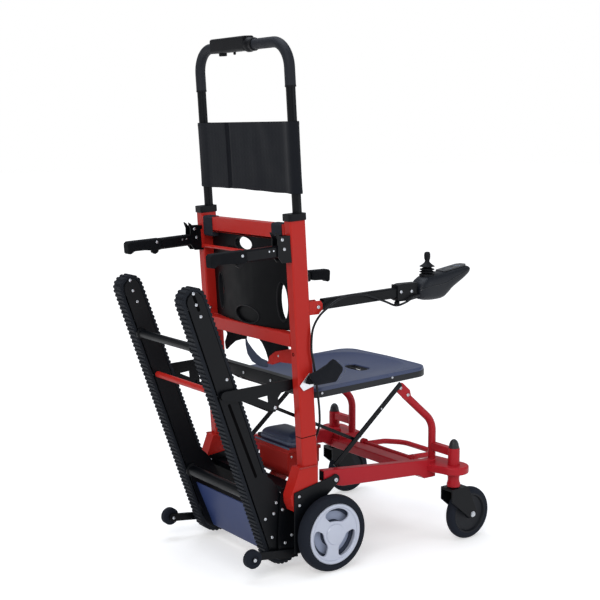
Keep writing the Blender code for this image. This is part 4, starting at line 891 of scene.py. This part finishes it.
for side, word in SIDES:
    body = "rear_wheel_" + word
    out = np.array((1, side))
    piece("tyre_" + word, [lathe(tyre * out, WHEEL, sides=96)], RUBBER, body, "rear_tyre_" + word, crease=50)
    piece("rim_barrel_" + word, [lathe(barrel * out, WHEEL, sides=96)], RIM, body, "rear_rim_" + word,
          crease=50)
    pierced("rim_face_" + word, circle(RIM_RADIUS - 9.4, 96) + WHEEL, windows, side * 266, side * 272.4,
            WINDOW_TURN, RIM, body, 2.2)
    piece("rim_hub_" + word, [lathe(hub * out, WHEEL, sides=64)], RIM, body, crease=30)
    piece("rim_web_" + word, [lathe(web * out, WHEEL, sides=64)], DARK_RIM, body)
    piece("rim_shade_rings_" + word, [lathe(shade_ring * out, WHEEL, sides=64) for shade_ring in shade_rings], RIM_SHADE, body)
    piece("roller_tyre_" + word, [lathe(roller * out, ROLLER_AXLE)], RUBBER, "rear_roller_" + word,
          "rear_roller_" + word, crease=40)


# Tracks: two steel plates on each side carry a sprocket below and a pulley above, and a toothed belt of black
# rubber runs round them. Tubes, the red release bar and a sheet cover join the two tracks. The plates have
# the frame's black coat and the sheet cover a navy one; shaft, sprockets and pulleys are dark bare steel.
TOP_PULLEY, TOP_RADIUS = np.array((361.0, 736.0)), 35.5
BELT_BEND, BEND_RADIUS, LUG, CARCASS = np.array((150.0, 262.0)), 90.0, 3.2, 6.8
BELT_INNER_X, BELT_OUTER_X, LUG_PITCH = 144.2, 184.9, 12.5


def belt_line(inset, spacing=3.0):
    """The belt's closed line in (Y, Z), drawn in by an inset: an arc round the sprocket, a straight rear run,
    an arc over the pulley, and a front run with one bend. Points are a spacing apart."""
    reach = TOP_PULLEY - TRACK_PIVOT
    lean = math.atan2(*reach) - math.asin((DRIVE_RADIUS - TOP_RADIUS) / np.linalg.norm(reach))
    to_bend = BELT_BEND - TRACK_PIVOT
    front = math.atan2(to_bend[1], to_bend[0]) + math.acos(DRIVE_RADIUS / np.linalg.norm(to_bend))
    low = TRACK_PIVOT + arc(DRIVE_RADIUS - inset, np.linspace(front, 2 * math.pi - lean, 40))
    high = TOP_PULLEY + arc(TOP_RADIUS - inset, np.linspace(-lean, math.pi - lean, 30))
    inward = np.array((math.cos(lean), -math.sin(lean)))
    low_inward = np.array((math.cos(front + math.pi), math.sin(front + math.pi)))
    bisector = unit(inward + low_inward)
    corner = BELT_BEND + bisector * (inset / (bisector @ inward))
    bent = corner_arc(corner, high[-1], low[0], BEND_RADIUS, 11)
    line, length = evenly(np.vstack([low, high, bent, low[:1]]), spacing)
    return line[:-1], length


SPROCKET = grained("dark_sprocket_steel", "bright_steel", "#3A3D44", 0.4, 0.8)
BELT_RUBBER = grained("belt_rubber", "rubber", "#151920", 0.7, grain=2.4, bump=0.4, blotch=35, contrast=0.2,
                      specular=0.2)
line, belt_length = belt_line(LUG)
tangent, outward = along_and_out(line)
lug_count = round(belt_length / LUG_PITCH)
marks = np.arange(lug_count) * len(line) / lug_count
where = marks.astype(int)
share = (marks - where)[:, None]
lug_place = line[where] * (1 - share) + line[(where + 1) % len(line)] * share
profile = np.array([(BELT_INNER_X, -CARCASS), (BELT_INNER_X, -0.8), (BELT_INNER_X + 0.8, 0),
                    (BELT_OUTER_X - 0.8, 0), (BELT_OUTER_X, -0.8), (BELT_OUTER_X, -CARCASS)])
for side, word in SIDES:
    flat = line[:, None] + outward[:, None] * profile[None, :, 1:]
    rows = np.concatenate([np.broadcast_to(side * profile[None, :, :1], (*flat.shape[:2], 1)), flat], axis=-1)
    lugs = []
    for place, run, out in zip(lug_place, tangent[where], outward[where]):
        tooth = []
        for height, half_length, draw in ((-0.6, 3.9, 0.3), (1.2, 3.7, 0.5), (LUG - 0.8, 2.9, 1.1),
                                          (LUG - 0.1, 2.4, 1.8)):
            low, high = BELT_INNER_X + draw, BELT_OUTER_X - draw
            corners = [(low, -half_length), (high, -half_length), (high, half_length), (low, half_length)]
            tooth.append([(side * x, *(place + run * step + out * height)) for x, step in corners])
        lugs.append(tooth)
    piece("belt_" + word, [np.concatenate([rows, rows[:1]]), *lugs], BELT_RUBBER, "tracks",
          "track_belt_" + word, crease=30)
    dressed("track_cover_" + word, BLACK, 0.7)
    dressed("top_pulley_" + word, SPROCKET, 0.8)
dressed("track_frame", BLACK, 0.7)
dressed("drive_shaft", SPROCKET, 0.8)
NAVY = grained("navy_powder_coat", "navy_enamel", "#2F3E6B", 0.4, grain=3.0, bump=0.08, blotch=150,
               contrast=0.14, specular=0.16)
dressed("track_cross_plate", NAVY, 0.8)
dressed("stow_frame", BLACK, 0.7)
tubes, ends = [], []
for y, z, r in ((190, 212, 14.3), (338, 613, 10.8)):
    tubes.append(sweep([(-140.4, y, z), (140.4, y, z)], circle(r, 48)))
    collar = np.array([(r - 0.1, 134), (r + 3.9, 136), (r + 3.9, 140.6), (r - 0.1, 140.6), (r - 0.1, 134)])
    ends += [lathe(collar * (1, side), (y, z)) for side in (-1, 1)]
piece("track_tubes", tubes, BLACK, "tracks")
piece("track_tube_collars", ends, BLACK, "tracks")
piece("release_bar_sleeve", [sweep([(-139.8, 290, 496), (139.8, 290, 496)], circle(8.1, 40))], RED, "tracks")
track_bolts = [(367, 757), (359.5, 729), (347, 699), (275, 534), (137, 162), (163, 152), (142.5, 99.5),
               (129, 190)]
bolts("track_bolts", both(188.4, *track_bolts), "tracks", 4.2, 3)
bolts("track_inner_bolts", both(140.6, *track_bolts[:3]), "tracks", 4.2, 3, way=-1)
# Thin near-black strips on the track covers: painted shade standing in for the depth of the slots.
GROOVE_PAINTED_SHADE = grained("groove_shadow", "black_enamel", "#040405", 0.9, grain=2.0, specular=0.05)
grooves = [outline(corners, 3.9) for corners in
           ([(273.7, 469.1), (266.3, 472.1), (186.3, 268.8), (193.7, 265.8)],
            [(370.7, 752.5), (363.3, 755.5), (347.3, 713.5), (354.7, 710.5)])]
shapes = [slab(flat, side * 187.6, side * 188.7, "X", 0.3) for side in (-1, 1) for flat in grooves]
piece("track_grooves", shapes, GROOVE_PAINTED_SHADE, "tracks")
bolts("stow_pivot_bolts", both(199.6, (138, 446)), "tracks")

# Front frame: box-section beams, a cross member, bent seat struts and the sleeves of the casters, all
# welded and powder-coated in the same red. Its colour is drawn darker and more crimson, as painted shade
# where the frame turns from the light.
CRIMSON_PAINTED_SHADE = grained("red_powder_coat_painted_shade", "red_enamel", "#B0202A", 0.34, grain=4.0, bump=0.06, blotch=160,
                  contrast=0.08, specular=0.17)
beam = [(-54, 212), (5, 233.5), (5, 264), (-385, 231), (-385, 182), (-345, 182), (-321, 196)]
SLEEVE = np.array((276.6, -411.4))
gusset = outline([(-270, 434), (-272, 452), (-290, 457), (-318, 432), (-322, 412), (-304, 404)], 6)
strut = bend([(-411, 204), (-411, 328), (-309, 417)], 60)
tip = SLEEVE + arc(42, np.radians(np.linspace(-100, 90, 25)))
foot = np.vstack([tip, [(232, -353), (173, -353), (173, -439)]])
sleeve = [(0, 160), (18, 160), (19, 161), (19, 169), (17.2, 173), (16.4, 178), (16.4, 187), (17.4, 190),
          (17.4, 224), (16.5, 226), (16.5, 268), (15.3, 270), (0, 270)]
hinge = np.array([(7, 109), (12.5, 109), (12.5, 121), (7, 121), (7, 109)])
parts = [slab(rectangle((-392, 180), (-345, 206), 4), -208, 208, "X", 0.5)]
for side in (-1, 1):
    outwards = (side, 1)
    parts.append(slab(beam, side * 206.5, side * 231.5, "X", 3))
    parts.append(sweep(np.column_stack([np.full(len(strut), side * 185.0), strut]), circle(11, 32)))
    parts.append(slab(gusset, side * 191, side * 197, "X", 0.8))
    parts.append(slab(rectangle((side * 190, 246), (side * 268, 268), 3), -422, -402, "Y", 1.5))
    parts.append(slab(foot * outwards, 200.2, 221.8, "Z", 4.5, 5))
    parts.append(lathe(sleeve, SLEEVE * outwards, "Z", 40))
    parts.append(lathe(hinge * (1, side), (-403, 204), sides=32))
piece("front_weldment", parts, CRIMSON_PAINTED_SHADE, "front_frame", "front_frame")
plugs = [rectangle((side * 209.5, 237), (side * 228.5, 261), 2) for side in (-1, 1)]
piece("beam_end_plugs", [slab(plug, 4.2, 6.0, "Y", 0.6) for plug in plugs], ABS, "front_frame")
DOME = grained("rubber_dome", "rubber", "#15171B", 0.5, blotch=15)
dome = [(13.8 * math.cos(a), 274 + 21 * math.sin(a)) for a in np.linspace(0, np.pi / 2, 9)]
dome = [(0, 269.5), (14.6, 269.5), (15, 271.5), (15, 273.5), *dome]
piece("sleeve_domes", [lathe(dome, SLEEVE * (side, 1), "Z", 32) for side in (-1, 1)], DOME, "front_frame")
for side, word in SIDES:
    dressed("seat_brace_" + word, BLACK, 0.8)
bolts("strut_bolts", both(197.2, (-282, 443), (-309, 420)), "front_frame")
bolts("beam_end_bolts", both(231.6, (-379, 212)), "front_frame", 4.4, 2.6)
bolts("brace_rivets", both(205.9, (-208, 396)), "front_frame", 2.6, 1.4)

# Footrest: a bent tube welded to a pivot tube between two lugs of the cross member. Same red, with the
# front frame's painted shade.
# It folds up between the seat's struts.
hoop = bend([(98, -403, 204), (98, -470, 201), (70, -524, 195), (-70, -524, 195), (-98, -470, 201),
             (-98, -403, 204)], 40, 8)
pivot_tube = sweep([(-123.8, -403, 204), (123.8, -403, 204)], circle(6.4, 32))
piece("footrest_hoop", [pivot_tube, sweep(hoop, circle(8, 32))], CRIMSON_PAINTED_SHADE, "footrest", "footrest")

# Casters: pressed steel forks on bearings in the sleeves, with one-piece wheels of grey-black rubber on
# plastic centres. The wheel's web is dished, and a large zinc nut ends the axle.
CENTRE = grained("caster_centre_plastic", "black_plastic", "#12151B", 0.5, grain=1.8, bump=0.2, specular=0.2)
CASTER_AXLE = (-465, 74.5)
t = np.linspace(0, np.pi, 20)
tread = np.stack([60 + 14.5 * np.sin(t) ** 0.7, -13.5 * np.cos(t)], axis=1)
tread = np.vstack([[(56, -12.5)], tread, [(56, 12.5)], [(56, -12.5)]])
dish = np.array([(4.8, -19.2), (13, -19.2), (14.5, -17), (15.5, -8), (30, -6), (50, -7), (53, -12.6),
                 (57, -13.4)])
disc = np.vstack([dish, dish[::-1] * (1, -1), dish[:1]])
nut = [(0, 30.2), (2.6, 30.2), (3.2, 29.4), (3.4, 28.2), (5.8, 27.8), (6.3, 27), (6.3, 25.2), (8, 25),
       (8, 24), (0, 24)]
for side, word in SIDES:
    dressed("caster_fork_" + word, BLACK, 1.6)
    middle = (0, side * SLEEVE[0])
    wheel = "caster_wheel_" + word
    tyre = lathe(tread + middle, CASTER_AXLE, sides=80)
    piece("caster_tyre_" + word, [tyre], RUBBER, wheel, wheel, crease=50)
    piece("caster_centre_" + word, [lathe(disc + middle, CASTER_AXLE, sides=64)], CENTRE, wheel)
    nuts = [lathe(np.array(nut) * (1, face) + middle, CASTER_AXLE, sides=24) for face in (-1, 1)]
    piece("caster_nuts_" + word, nuts, ZINC, "caster_" + word)


# Studio: a pale floor, a white world and three soft lamps.
# The camera sees floor and world white, mirrors see the floor white, and the floor keeps the shadow.
def either(tree, first, second):
    """A value that is 1 where either of two is."""
    return node(tree, "ShaderNodeMath", {0: first, 1: second}, operation="MAXIMUM").outputs["Value"]


def white_floor():
    """A floor material whose own glow grows with the distance, so that it stays white where the lamps don't
    reach."""
    material = bpy.data.materials.new("white_floor")
    material.use_nodes = True
    tree = material.node_tree
    tree.nodes.clear()
    rays = node(tree, "ShaderNodeLightPath").outputs
    seen = either(tree, rays["Is Camera Ray"], rays["Is Glossy Ray"])
    seen = either(tree, seen, rays["Is Transmission Ray"])
    place = node(tree, "ShaderNodeTexCoord").outputs["Object"]
    distance = node(tree, "ShaderNodeVectorMath", {0: place}, operation="LENGTH")
    grows = node(tree, "ShaderNodeMapRange", {"Value": distance.outputs["Value"], "From Min": 1.0,
                                              "From Max": 3.5, "To Min": 0.46, "To Max": 0.8})
    strength = node(tree, "ShaderNodeMath", {0: seen, 1: grows.outputs["Result"]}, operation="MULTIPLY")
    matt = node(tree, "ShaderNodeBsdfDiffuse", {"Color": (0.8, 0.8, 0.8, 1)})
    glow = node(tree, "ShaderNodeEmission", {"Color": (1, 1, 1, 1), "Strength": strength.outputs["Value"]})
    both_lights = node(tree, "ShaderNodeAddShader", {0: matt.outputs["BSDF"], 1: glow.outputs["Emission"]})
    node(tree, "ShaderNodeOutputMaterial", {"Surface": both_lights.outputs["Shader"]})
    return material


FLOOR_HALF = 30.0
mesh = bpy.data.meshes.new("floor")
mesh.from_pydata([(x * FLOOR_HALF, y * FLOOR_HALF, 0) for x, y in ((-1, -1), (1, -1), (1, 1), (-1, 1))], [],
                 [(0, 1, 2, 3)])
floor = bpy.data.objects.new("floor", mesh)
bpy.context.scene.collection.objects.link(floor)
floor.data.materials.append(white_floor())
world = bpy.data.worlds.new("studio")
bpy.context.scene.world = world
world.use_nodes = True
tree = world.node_tree
tree.nodes.clear()
light = node(tree, "ShaderNodeBackground", {"Color": (0.93, 0.96, 1.0, 1), "Strength": 0.42})
white = node(tree, "ShaderNodeBackground", {"Color": (1, 1, 1, 1), "Strength": 1.0})
seen = node(tree, "ShaderNodeLightPath").outputs["Is Camera Ray"]
mixed = node(tree, "ShaderNodeMixShader", {0: seen, 1: light.outputs["Background"],
                                           2: white.outputs["Background"]})
node(tree, "ShaderNodeOutputWorld", {"Surface": mixed.outputs["Shader"]})
LAMP_AIM = Vector((0, 0, 0.6))
for name, place, size, power, colour in (("key", (-2.6, 3.2, 3.0), 2.2, 74, (1, 0.98, 0.95)),
                                         ("top", (0.4, 0.2, 3.4), 2.4, 56, (0.86, 0.91, 1.0)),
                                         ("fill", (-3.4, -1.6, 1.6), 2.4, 27, (0.9, 0.94, 1.0))):
    lamp = bpy.data.lights.new(name, "AREA")
    lamp.size = size
    lamp.energy = power
    lamp.color = colour
    holder = bpy.data.objects.new(name, lamp)
    holder.location = place
    holder.rotation_euler = (LAMP_AIM - Vector(place)).to_track_quat("-Z", "Y").to_euler()
    bpy.context.scene.collection.objects.link(holder)
bpy.context.scene.view_settings.view_transform = "Standard"
